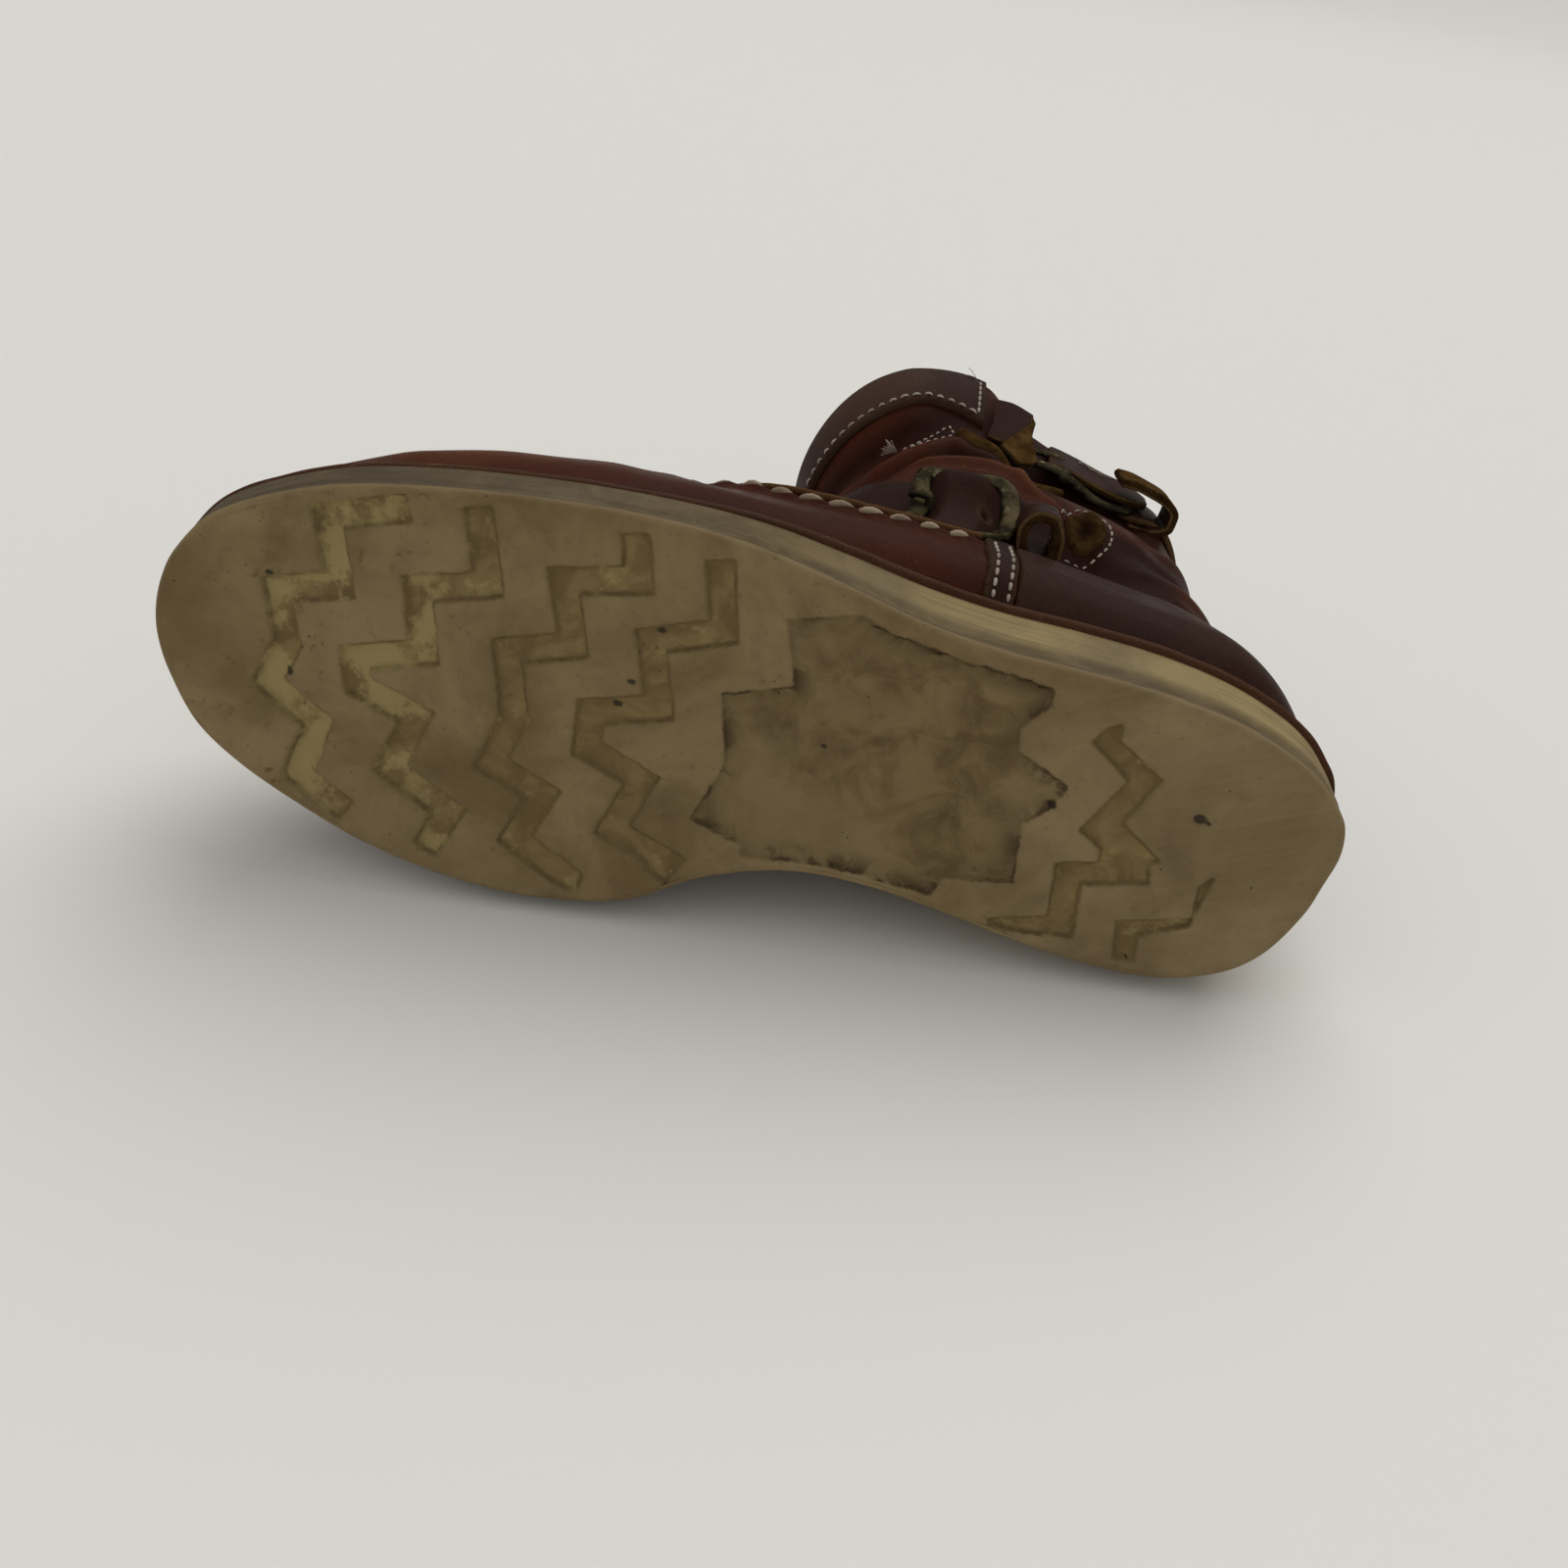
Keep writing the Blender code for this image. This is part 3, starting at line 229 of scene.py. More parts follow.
# small cuts and black marks on the tread: x and y shares, radius in metres, depth in metres
NICKS = [
    (0.589, 0.492, 0.0013, 0.0003), (0.604, 0.229, 0.0012, 0.0003), (0.612, 0.095, 0.0014, 0.0004),
    (0.245, 0.091, 0.0014, 0.0006), (0.050, 0.539, 0.0013, 0.0005), (0.023, 0.429, 0.0012, 0.0006),
    (0.124, 0.190, 0.0019, 0.0010), (0.116, 0.178, 0.0009, 0.0004), (0.905, 0.330, 0.0012, 0.0003),
    (0.880, -0.120, 0.0013, 0.0003), (0.440, 0.120, 0.0010, 0.0003),
]
ARCH = [
    (0.494, 0.688), (0.476, 0.386), (0.532, 0.274), (0.517, -0.048), (0.518, -0.104), (0.536, -0.390),
    (0.488, -0.468), (0.487, -0.535), (0.456, -0.500), (0.423, -0.480), (0.391, -0.477), (0.358, -0.490),
    (0.321, -0.508), (0.314, -0.403), (0.256, -0.347), (0.264, -0.041), (0.245, 0.076), (0.236, 0.201),
    (0.284, 0.324), (0.289, 0.423), (0.270, 0.572), (0.271, 0.656), (0.353, 0.695), (0.407, 0.734),
    (0.436, 0.790),
]

# strap lines over the upper: turn in degrees from the front tip, rise share
INSTEP_LINE = [
    (-104, 0.452), (-92, 0.452), (-78, 0.460), (-65, 0.475), (-50, 0.500), (-25, 0.545), (0, 0.568),
    (25, 0.540), (50, 0.462), (66, 0.422), (82, 0.406), (96, 0.398), (107, 0.392), (122, 0.386),
]
COLLAR_LINE = [(72, 0.905), (94, 0.905), (113, 0.900), (135, 0.893), (155, 0.885), (172, 0.880)]
INSTEP_BUCKLE_TURN = 83
COLLAR_BUCKLE_TURN = 113

# strap lift: place along the strap from the buckle centre as share of frame length, lift
INSTEP_LIFT = [
    (-9.0, 0.0), (-0.53, 0.0), (-0.37, 0.0), (-0.18, 0.0054), (0.12, 0.0056), (0.32, 0.0026), (9.0, 0.0026),
]
FRAME_LIFT = [(-0.52, 0.0040), (-0.33, 0.0037), (0.0, 0.0032), (0.33, 0.0062), (0.52, 0.0065)]

# soft folds of the leather, each along a line: turn and rise at both ends, half width as rise share, height
FOLDS = [
    (8, 0.700, 40, 0.672, 0.030, 0.8),
    (40, 0.672, 68, 0.735, 0.024, 1.2),
    (12, 0.770, 56, 0.790, 0.030, -0.8),
    (44, 0.640, 66, 0.690, 0.016, -1.0),
    (56, 0.632, 84, 0.625, 0.018, 1.3),
    (84, 0.625, 100, 0.520, 0.022, 1.4),
    (66, 0.680, 90, 0.672, 0.016, -1.3),
    (60, 0.570, 90, 0.560, 0.020, -0.9),
    (92, 0.640, 112, 0.400, 0.040, -1.6),
    (82, 0.800, 112, 0.760, 0.034, -1.5),
    (-60, 0.640, 4, 0.690, 0.030, 1.0),
    (-70, 0.590, -10, 0.620, 0.026, -0.9),
    (-130, 0.560, -75, 0.540, 0.030, 0.9),
    (-150, 0.480, -95, 0.640, 0.030, -0.8),
    (126, 0.620, 176, 0.660, 0.030, 0.8),
    (124, 0.500, 176, 0.560, 0.035, -1.1),
    (120, 0.430, 170, 0.440, 0.030, 1.0),
    (130, 0.340, 178, 0.330, 0.024, -0.7),
    (-176, 0.420, -140, 0.440, 0.030, 0.8),
    (-25, 0.410, 25, 0.405, 0.024, -1.0),
    (-30, 0.370, 32, 0.365, 0.020, 0.8),
]
# ankle leather drawn in under the strap and pushed out above it: rise share, height in metres
TUCK = [(0.0, 0.0), (0.262, 0.0), (0.298, -0.0055), (0.335, -0.0098), (0.400, -0.0072), (0.470, -0.0014),
        (0.560, 0.0026), (0.680, 0.0010), (0.760, 0.0), (1.0, 0.0)]
# slack hollow of the gusset: turn, half width in degrees, rise share, half height, depth in metres
GUSSET = (99, 21, 0.80, 0.085, 0.0056)
# creases over the vamp where the foot bends: x at the lateral side, x at the medial side, half width, height
FLEX = [
    (0.705, 0.715, 0.0050, -0.9),
    (0.672, 0.690, 0.0042, 0.6),
    (0.642, 0.660, 0.0046, -1.1),
    (0.612, 0.630, 0.0044, 0.7),
    (0.582, 0.600, 0.0048, -0.8),
    (0.550, 0.572, 0.0050, 0.5),
]


def smooth(xs, ys, x):
    """Monotone cubic through the rows."""
    xs = np.asarray(xs, float)
    ys = np.asarray(ys, float)
    x = np.clip(np.asarray(x, float), xs[0], xs[-1])
    h = np.diff(xs)
    d = np.diff(ys) / h
    m = np.zeros_like(ys)
    m[0] = d[0]
    m[-1] = d[-1]
    for i in range(1, len(xs) - 1):
        if d[i - 1] * d[i] > 0:
            w1 = 2 * h[i] + h[i - 1]
            w2 = h[i] + 2 * h[i - 1]
            m[i] = (w1 + w2) / (w1 / d[i - 1] + w2 / d[i])
    i = np.clip(np.searchsorted(xs, x, side="right") - 1, 0, len(xs) - 2)
    t = (x - xs[i]) / h[i]
    a = (1 + 2 * t) * (1 - t) ** 2
    b = t * (1 - t) ** 2
    c = t * t * (3 - 2 * t)
    e = t * t * (t - 1)
    return a * ys[i] + b * h[i] * m[i] + c * ys[i + 1] + e * h[i] * m[i + 1]


def column(table, index):
    return np.array([row[index] for row in table], float)


def along_sole(table, index, x):
    """A table's column at x, where its first column is a share of the length."""
    return smooth(column(table, 0) * LENGTH, column(table, index), x)


def on_sole(rows):
    """Places on the sole in metres from shares of length and of half the ball width."""
    return np.array([[row[0] * LENGTH, row[1] * HALF_BALL] for row in rows])


def run_along(points):
    """Distance from a path's first point to each of its points."""
    step = np.linalg.norm(np.diff(points, axis=0), axis=1)
    return np.concatenate([[0.0], np.cumsum(step)])


def matched(*values):
    """Values as arrays of one shape."""
    return np.broadcast_arrays(*(np.asarray(v, float) for v in values))


def ease(t):
    t = np.clip(t, 0.0, 1.0)
    return t * t * (3 - 2 * t)


def unit(v):
    return v / np.maximum(np.linalg.norm(v, axis=-1)[..., None], 1e-12)


def mottle(points, size, seed=0.0):
    """Smooth noise between about -1 and 1 at each point."""
    flat = np.asarray(points, float).reshape(-1, 3) / size + seed
    values = [noise.noise(Vector(p)) for p in flat]
    return np.array(values).reshape(np.shape(points)[:-1])


def closed_spline(points, steps):
    n = len(points)
    out = []
    for i in range(n):
        p0, p1, p2, p3 = (points[(i + k - 1) % n] for k in range(4))
        for k in range(steps):
            t = k / steps
            out.append(0.5 * (2 * p1 + (p2 - p0) * t + (2 * p0 - 5 * p1 + 4 * p2 - p3) * t * t
                              + (3 * p1 - p0 - 3 * p2 + p3) * t ** 3))
    return np.array(out)


def outline_loop(steps):
    """Sole outline, from the heel tip along the lateral side and back along the medial side."""
    lateral = on_sole(OUTLINE)
    medial = on_sole([row[2:] for row in OUTLINE])
    return closed_spline(np.vstack([lateral, medial[-2:0:-1]]), steps)


def shifted(loop, amount):
    t = unit(np.roll(loop, -1, axis=0) - np.roll(loop, 1, axis=0))
    normal = np.stack([-t[:, 1], t[:, 0]], axis=1)
    return loop + normal * np.reshape(amount, (-1, 1))


def spring(x):
    return TOE_SPRING * along_sole(SPRING, 1, x)


def wedge_top(x):
    heel = along_sole(WEDGE_TOP, 1, x)
    ball = along_sole(WEDGE_TOP, 2, x)
    return spring(x) + heel * SOLE_HEEL + ball * SOLE_BALL + (1 - heel - ball) * SOLE_TOE


def midsole_top(x):
    return wedge_top(x) + SEAT_GAP + MIDSOLE_THICK


def side_y(loop, x, lateral):
    half = len(loop) // 2
    lat = loop[:half + 1]
    med = np.vstack([loop[half:], loop[:1]])[::-1]
    lx = np.maximum.accumulate(lat[:, 0])
    mx = np.maximum.accumulate(med[:, 0])
    return np.where(lateral, np.interp(x, lx, lat[:, 1]), np.interp(x, mx, med[:, 1]))


FEATHER = shifted(outline_loop(10), -FEATHER_INSET)


def cap(d):
    d = np.clip(d, 0.0, 1.0)
    return np.sqrt(np.maximum(1.0 - (1.0 - d) ** 2, 0.0))


def surface(turn, rise):
    """Outer face of the upper at a turn from the front tip and a rise share."""
    turn, rise = matched(turn, rise)
    row = [smooth(column(LEVELS, 0), column(LEVELS, i), rise) for i in range(1, 13)]
    front, back, cap_front, cap_back, follow, fill, upright, wide_lat, wide_med, middle, cinch, lean = row
    front = front * LENGTH
    back = back * LENGTH
    lateral = np.sin(turn) >= 0
    c = np.cos(turn)
    x = (front + back) / 2 + (front - back) / 2 * c
    lean = along_sole(BODY, 3, x) * lean
    body = np.where(lateral, along_sole(BODY, 1, x) - lean, along_sole(BODY, 2, x) + lean)
    shaft = np.where(lateral, wide_lat, wide_med)
    wide = (body * (1 - upright) + shaft * upright) * HALF_BALL
    centre = middle * HALF_BALL
    caps = cap((front - x) / (cap_front * LENGTH)) * cap((x - back) / (cap_back * LENGTH))
    y = centre + (wide - centre) * caps
    y = y - np.where(lateral, CINCH * along_sole(CINCH_LINE, 1, x) * cinch, 0.0)
    tip = FEATHER[len(FEATHER) // 2, 0]
    heel = FEATHER[0, 0]
    xo = (tip + heel) / 2 + (tip - heel) / 2 * c
    yo = side_y(FEATHER, xo, lateral)
    x = xo * (1 - fill) + x * fill
    y = yo * (1 - fill) + y * fill
    z = VAMP_BASE + rise * RISE + (midsole_top(x) + SEAT_GAP - VAMP_BASE) * follow
    return np.stack([x, y, z], axis=-1)


def surface_normal(turn, rise):
    e = 0.012
    r0 = np.clip(rise - 0.004, 0.0, 1.0)
    r1 = np.clip(rise + 0.004, 0.0, 1.0)
    a = surface(turn + e, rise) - surface(turn - e, rise)
    b = surface(turn, r1) - surface(turn, r0)
    return unit(np.cross(a, b))


def turn_at(x, rise):
    front = smooth(column(LEVELS, 0), column(LEVELS, 1), rise) * LENGTH
    back = smooth(column(LEVELS, 0), column(LEVELS, 2), rise) * LENGTH
    c = (x - (front + back) / 2) / ((front - back) / 2)
    return np.arccos(np.clip(c, -1.0, 1.0))


def rise_of(height):
    return (height - VAMP_BASE) / RISE


def half_turns(turn):
    """Turn in degrees from -180 to 180."""
    return (np.degrees(turn) + 180.0) % 360.0 - 180.0


def tucked(turn, rise):
    """How far the leather on the lateral side stands off the plain surface, at ankle, gusset and collar."""
    deg = half_turns(turn)
    side = ease((deg - 34) / 24) * ease((136 - deg) / 22)
    low_rise = rise - (seam_rise(turn) - SEAM_RISE_SHARE) * ease((0.365 - rise) / 0.06)
    middle, half, level_rise, half_rise, depth = GUSSET
    hollow = np.exp(-((deg - middle) / half) ** 2 - ((rise - level_rise) / half_rise) ** 2)
    mouth = 0.0042 * np.exp(-((deg - 48) / 28) ** 2) * ease((rise - 0.76) / 0.22)
    return side * smooth(column(TUCK, 0), column(TUCK, 1), low_rise) - depth * hollow + mouth


def relief(turn, rise, points):
    """Height of folds and creases over the plain surface."""
    deg = half_turns(turn)
    out = tucked(turn, rise)
    for t0, r0, t1, r1, half, height in FOLDS:
        along = (deg - t0) / (t1 - t0)
        line = r0 + (r1 - r0) * np.clip(along, 0.0, 1.0)
        fade = ease((along + 0.25) / 0.35) * ease((1.25 - along) / 0.35)
        out = out + FOLD_DEPTH * height * fade * np.exp(-((rise - line) / half) ** 2)
    share = (points[..., 1] / HALF_BALL + 1) / 2
    over = ease((rise - 0.16) / 0.06) * ease((0.40 - rise) / 0.08)
    for x_lat, x_med, half, height in FLEX:
        line = (x_med + (x_lat - x_med) * share) * LENGTH
        line = line + 0.002 * np.sin(share * 9.0 + x_lat * 40.0)
        out = out + 0.0009 * height * over * np.exp(-((points[..., 0] - line) / half) ** 2)
    return out


def skin(turn, rise, lift=0.0):
    """Point and normal on the creased leather, at a lift over it."""
    turn, rise = matched(turn, rise)
    p = surface(turn, rise)
    n = surface_normal(turn, rise)
    return p + n * (relief(turn, rise, p) + lift)[..., None], n


class StrapLine:
    """A line over the upper with places along it, across it and off it in metres."""

    def __init__(self, rows, zero_turn):
        turns = np.radians(column(rows, 0))
        t = np.linspace(turns[0], turns[-1], 400)
        r = smooth(turns, column(rows, 1), t)
        along = run_along(surface(t, r))
        self.along = along - np.interp(math.radians(zero_turn), t, along)
        self.turn = t
        self.rise = r

    def spot(self, s):
        return np.interp(s, self.along, self.turn), np.interp(s, self.along, self.rise)

    def place(self, s, w, off):
        """Points at s along, w across and off over the drawn-in leather."""
        s, w, off = matched(s, w, off)
        t, r = self.spot(s)
        e = 0.004
        ahead = unit(surface(*self.spot(s + e)) - surface(*self.spot(s - e)))
        n = surface_normal(t, r)
        across = unit(np.cross(n, ahead))
        pt = (surface(t + 0.01, r) - surface(t - 0.01, r)) / 0.02
        pr = (surface(t, r + 0.004) - surface(t, r - 0.004)) / 0.008
        move = across * w[..., None]
        a11 = (pt * pt).sum(-1)
        a12 = (pt * pr).sum(-1)
        a22 = (pr * pr).sum(-1)
        b1 = (pt * move).sum(-1)
        b2 = (pr * move).sum(-1)
        det = a11 * a22 - a12 * a12
        dt = (b1 * a22 - b2 * a12) / det
        dr = (a11 * b2 - a12 * b1) / det
        t = t + dt
        r = np.clip(r + dr, 0.0, 1.0)
        return surface(t, r) + surface_normal(t, r) * (off + tucked(t, r))[..., None]


class FittedLine:
    """A stiff, lightly arched piece of a strap line, for a metal frame."""

    def __init__(self, line, length, width, lift):
        s, w = np.meshgrid(np.linspace(-length / 2, length / 2, 9), np.linspace(-width / 2, width / 2, 7))
        self.size = length / 2
        spots = line.place(s, w, lift(s)).reshape(-1, 3)
        self.form, _, _, _ = np.linalg.lstsq(self.terms(s.ravel(), w.ravel()), spots, rcond=None)

    def terms(self, s, w):
        a = s / self.size
        b = w / self.size
        return np.stack([np.ones_like(a), a, b, a * a, a * b, b * b], axis=-1)

    def place(self, s, w, off):
        s, w, off = matched(s, w, off)
        e = 0.001
        ahead = (self.terms(s + e, w) - self.terms(s - e, w)) @ self.form
        across = (self.terms(s, w + e) - self.terms(s, w - e)) @ self.form
        n = unit(np.cross(ahead, across))
        n = n * np.sign(n[..., 1:2])
        return self.terms(s, w) @ self.form + n * off[..., None]


class FormLine:
    """A curve drawn in boot coordinates with a width across it, for pieces that hang off the shaft."""

    def __init__(self, spots, across, outward, from_middle=False):
        self.spots = np.asarray(spots, float) / 1000
        self.along = run_along(self.spots)
        self.length = self.along[-1]
        self.start = self.length / 2 if from_middle else 0.0
        self.across = unit(np.asarray(across, float))
        self.side = np.asarray(outward, float)

    def at(self, s):
        return np.stack([smooth(self.along, self.spots[:, k], s) for k in range(3)], axis=-1)

    def place(self, s, w, off):
        s, w, off = matched(s, w, off)
        s = s + self.start
        ahead = unit(self.at(s + 0.0015) - self.at(s - 0.0015))
        n = unit(np.cross(ahead, self.across))
        n = n * np.sign((n * self.side).sum(-1))[..., None]
        return self.at(s) + self.across * w[..., None] + n * off[..., None]


def grid_faces(rows, cols, start=0, wrap=False, flip=False):
    """Quads over a grid of points, row by row."""
    c = np.arange(cols if wrap else cols - 1)
    r = np.arange(rows - 1)[:, None] * cols + start
    a = r + c
    b = r + (c + 1) % cols
    quads = np.stack([a, b, b + cols, a + cols], axis=-1).reshape(-1, 4)
    return quads[:, ::-1] if flip else quads


def rod_faces(rows, cols, start=0):
    """Quads round a row of rings, closed at both ends."""
    lid = np.arange(start, start + cols)
    sides = [list(f) for f in grid_faces(rows, cols, start, wrap=True)]
    return sides + [list(lid[::-1]), list(lid + (rows - 1) * cols)]


def loop_lid(n, start):
    """Quads across a closed loop, from its way out to its way back."""
    i = np.arange(n // 2)
    return np.stack([start + i, start + i + 1, start + (n - i - 1) % n, start + (n - i) % n], axis=-1)


def rim_loop(rows, cols):
    """Indices round the edge of a grid."""
    top = list(range(cols))
    right = [r * cols + cols - 1 for r in range(1, rows)]
    bottom = [(rows - 1) * cols + c for c in range(cols - 2, -1, -1)]
    left = [r * cols for r in range(rows - 2, 0, -1)]
    return np.array(top + right + bottom + left)


def two_faced(outer, inner):
    """Closed sheet between two equal grids."""
    rows, cols = outer.shape[:2]
    off = rows * cols
    loop = rim_loop(rows, cols)
    nxt = np.roll(loop, -1)
    rim = np.stack([nxt, loop, off + loop, off + nxt], axis=-1)
    faces = np.vstack([grid_faces(rows, cols), grid_faces(rows, cols, off, flip=True), rim])
    return np.vstack([outer.reshape(-1, 3), inner.reshape(-1, 3)]), faces


def rounded_shading(mesh, weld=0.0):
    """Faces all outward and smooth, with equal points joined where asked."""
    work = bmesh.new()
    work.from_mesh(mesh)
    if weld > 0:
        bmesh.ops.remove_doubles(work, verts=work.verts, dist=weld)
    bmesh.ops.recalc_face_normals(work, faces=work.faces)
    for face in work.faces:
        face.smooth = True
    work.to_mesh(mesh)
    work.free()


def make_piece(name, points, faces, material, slot, hides=(), weld=0.0, **marks):
    """Mesh from boot coordinates, with marks stored per point for its material."""
    points = np.asarray(points, float)
    mesh = bpy.data.meshes.new(name)
    mesh.from_pydata(laid(points).tolist(), [], [tuple(int(k) for k in f) for f in faces])
    boot = mesh.attributes.new("boot", "FLOAT_VECTOR", "POINT")
    boot.data.foreach_set("vector", points.astype(np.float32).ravel())
    for key, values in marks.items():
        mark = mesh.attributes.new(key, "FLOAT", "POINT")
        mark.data.foreach_set("value", np.asarray(values, np.float32).ravel())
    rounded_shading(mesh, weld)
    mesh.materials.append(material)
    piece = bpy.data.objects.new(name, mesh)
    bpy.context.scene.collection.objects.link(piece)
    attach(piece, "root")
    if hides:
        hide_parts(*hides)
    return piece


# materials
def put(tree, socket, value):
    """Links a socket or sets its plain value."""
    if isinstance(value, bpy.types.NodeSocket):
        tree.links.new(value, socket)
    elif isinstance(value, (tuple, list)) and len(value) == 3 and socket.type == "RGBA":
        socket.default_value = (*value, 1.0)
    else:
        socket.default_value = value


def add_node(tree, kind, inputs=None, **settings):
    node = tree.nodes.new(kind)
    for key, value in settings.items():
        setattr(node, key, value)
    for key, value in (inputs or {}).items():
        put(tree, node.inputs[key], value)
    return node


def mark_of(tree, name):
    return add_node(tree, "ShaderNodeAttribute", attribute_name=name).outputs["Fac"]


def boot_place(tree):
    return add_node(tree, "ShaderNodeAttribute", attribute_name="boot").outputs["Vector"]


def maths(tree, operation, a, b=0.0, clamp=False):
    node = add_node(tree, "ShaderNodeMath", operation=operation, use_clamp=clamp)
    put(tree, node.inputs[0], a)
    put(tree, node.inputs[1], b)
    return node.outputs[0]


def times(tree, a, b):
    return maths(tree, "MULTIPLY", a, b)


def mixed(tree, factor, a, b):
    node = add_node(tree, "ShaderNodeMix", data_type="RGBA")
    put(tree, node.inputs[0], factor)
    put(tree, node.inputs[6], a)
    put(tree, node.inputs[7], b)
    return node.outputs[2]


def ranged(tree, value, low, high, to_low=0.0, to_high=1.0):
    node = add_node(tree, "ShaderNodeMapRange", interpolation_type="SMOOTHSTEP")
    for key, v in zip(("Value", "From Min", "From Max", "To Min", "To Max"),
                      (value, low, high, to_low, to_high)):
        put(tree, node.inputs[key], v)
    return node.outputs["Result"]


def graded(tree, value, low, high, dark, light):
    """Colour from dark to light as a value rises from low to high."""
    return mixed(tree, ranged(tree, value, low, high), dark, light)


def layered(tree, colour, *layers):
    """Lays tints over a colour in turn, each with its own mask."""
    for mask, tint in layers:
        colour = mixed(tree, mask, colour, tint)
    return colour


def cloud(tree, place, scale, detail=4.0, rough=0.55, warp=0.0):
    node = add_node(tree, "ShaderNodeTexNoise",
                    {"Vector": place, "Scale": scale, "Detail": detail, "Roughness": rough,
                                                 "Distortion": warp})
    return node.outputs["Fac"]


def stretched(tree, place, scale, turn=0.0):
    """Place turned about the height, then scaled."""
    turned = add_node(tree, "ShaderNodeMapping", {"Vector": place})
    turned.inputs["Rotation"].default_value = (0.0, 0.0, turn)
    node = add_node(tree, "ShaderNodeMapping", {"Vector": turned.outputs["Vector"]})
    node.inputs["Scale"].default_value = scale
    return node.outputs["Vector"]


def new_group(name, inputs, outputs):
    """Node group with named inputs and outputs."""
    group = bpy.data.node_groups.new(name, "ShaderNodeTree")
    for key, kind, value in inputs:
        socket = group.interface.new_socket(name=key, in_out="INPUT", socket_type="NodeSocket" + kind)
        if value is not None:
            socket.default_value = value
    for key, kind in outputs:
        group.interface.new_socket(name=key, in_out="OUTPUT", socket_type="NodeSocket" + kind)
    source = group.nodes.new("NodeGroupInput")
    sink = group.nodes.new("NodeGroupOutput")
    return group, source.outputs, sink.inputs


def use_group(tree, group, **inputs):
    node = tree.nodes.new("ShaderNodeGroup")
    node.node_tree = group
    for key, value in inputs.items():
        put(tree, node.inputs[key.replace("_", " ")], value)
    return node.outputs


def hide_grain_group():
    """Pebbled hide with pores and fine wrinkles."""
    g, src, out = new_group("hide_grain", [("Place", "Vector", None), ("Scale", "Float", 900.0)],
                            [("Height", "Float"), ("Pores", "Float")])
    cells = add_node(g, "ShaderNodeTexVoronoi", {"Vector": src["Place"], "Scale": src["Scale"]},
                     feature="DISTANCE_TO_EDGE")
    lines = ranged(g, cells.outputs["Distance"], 0.0, 0.16)
    broad = cloud(g, src["Place"], times(g, src["Scale"], 0.35), 5.0, 0.6)
    fine = cloud(g, src["Place"], times(g, src["Scale"], 2.2), 3.0, 0.7)
    height = maths(g, "ADD", times(g, lines, 0.30), times(g, broad, 0.9))
    height = maths(g, "ADD", height, times(g, fine, 0.25))
    put(g, out["Height"], height)
    put(g, out["Pores"], maths(g, "SUBTRACT", 1.0, lines))
    return g


def scuff_group():
    """Broken fine lines, for scratches and rubbed streaks."""
    g, src, out = new_group("scuff_lines", [("Place", "Vector", None), ("Scale", "Float", 220.0),
                                            ("Amount", "Float", 0.5)],
                            [("Mask", "Float")])
    lines = cloud(g, src["Place"], src["Scale"], 6.0, 0.72, 0.4)
    patches = cloud(g, src["Place"], times(g, src["Scale"], 0.13), 2.0, 0.5)
    lines = ranged(g, lines, 0.54, 0.66)
    patches = ranged(g, patches, maths(g, "SUBTRACT", 0.72, times(g, src["Amount"], 0.35)), 0.78)
    put(g, out["Mask"], times(g, lines, patches))
    return g


def dirt_group():
    """Specks and smears of dirt."""
    g, src, out = new_group("dirt", [("Place", "Vector", None), ("Amount", "Float", 0.5)],
                            [("Smear", "Float"), ("Specks", "Float")])
    smear = cloud(g, src["Place"], 38.0, 7.0, 0.62, 0.6)
    put(g, out["Smear"], ranged(g, smear, maths(g, "SUBTRACT", 0.66, times(g, src["Amount"], 0.2)), 0.74))
    cells = add_node(g, "ShaderNodeTexVoronoi", {"Vector": src["Place"], "Scale": 420.0, "Randomness": 1.0})
    spots = ranged(g, cells.outputs["Distance"], 0.16, 0.10)
    where = ranged(g, cloud(g, src["Place"], 70.0, 3.0, 0.6), 0.60, 0.68)
    put(g, out["Specks"], times(g, spots, where))
    return g


GRAIN_SCALE = 900.0
GRAIN_DEPTH = 0.00012 * 4
GRAIN = hide_grain_group()
SCUFF = scuff_group()
DIRT = dirt_group()


def new_look(name):
    mat = bpy.data.materials.new(name)
    mat.use_nodes = True
    tree = mat.node_tree
    return mat, tree, tree.nodes["Principled BSDF"]


def set_look(tree, shader, **values):
    """Shader inputs by name, each a plain value or a socket."""
    for key, value in values.items():
        put(tree, shader.inputs[key.replace("_", " ")], value)


def line_at(tree, value, middle, far, near):
    """Soft line where a value passes a middle."""
    return ranged(tree, maths(tree, "ABSOLUTE", maths(tree, "SUBTRACT", value, middle)), far, near)


def bump(tree, shader, height, strength, distance, below=None):
    node = add_node(tree, "ShaderNodeBump", {"Height": height, "Strength": strength, "Distance": distance})
    if below is not None:
        tree.links.new(below.outputs["Normal"], node.inputs["Normal"])
    tree.links.new(node.outputs["Normal"], shader.inputs["Normal"])
    return node


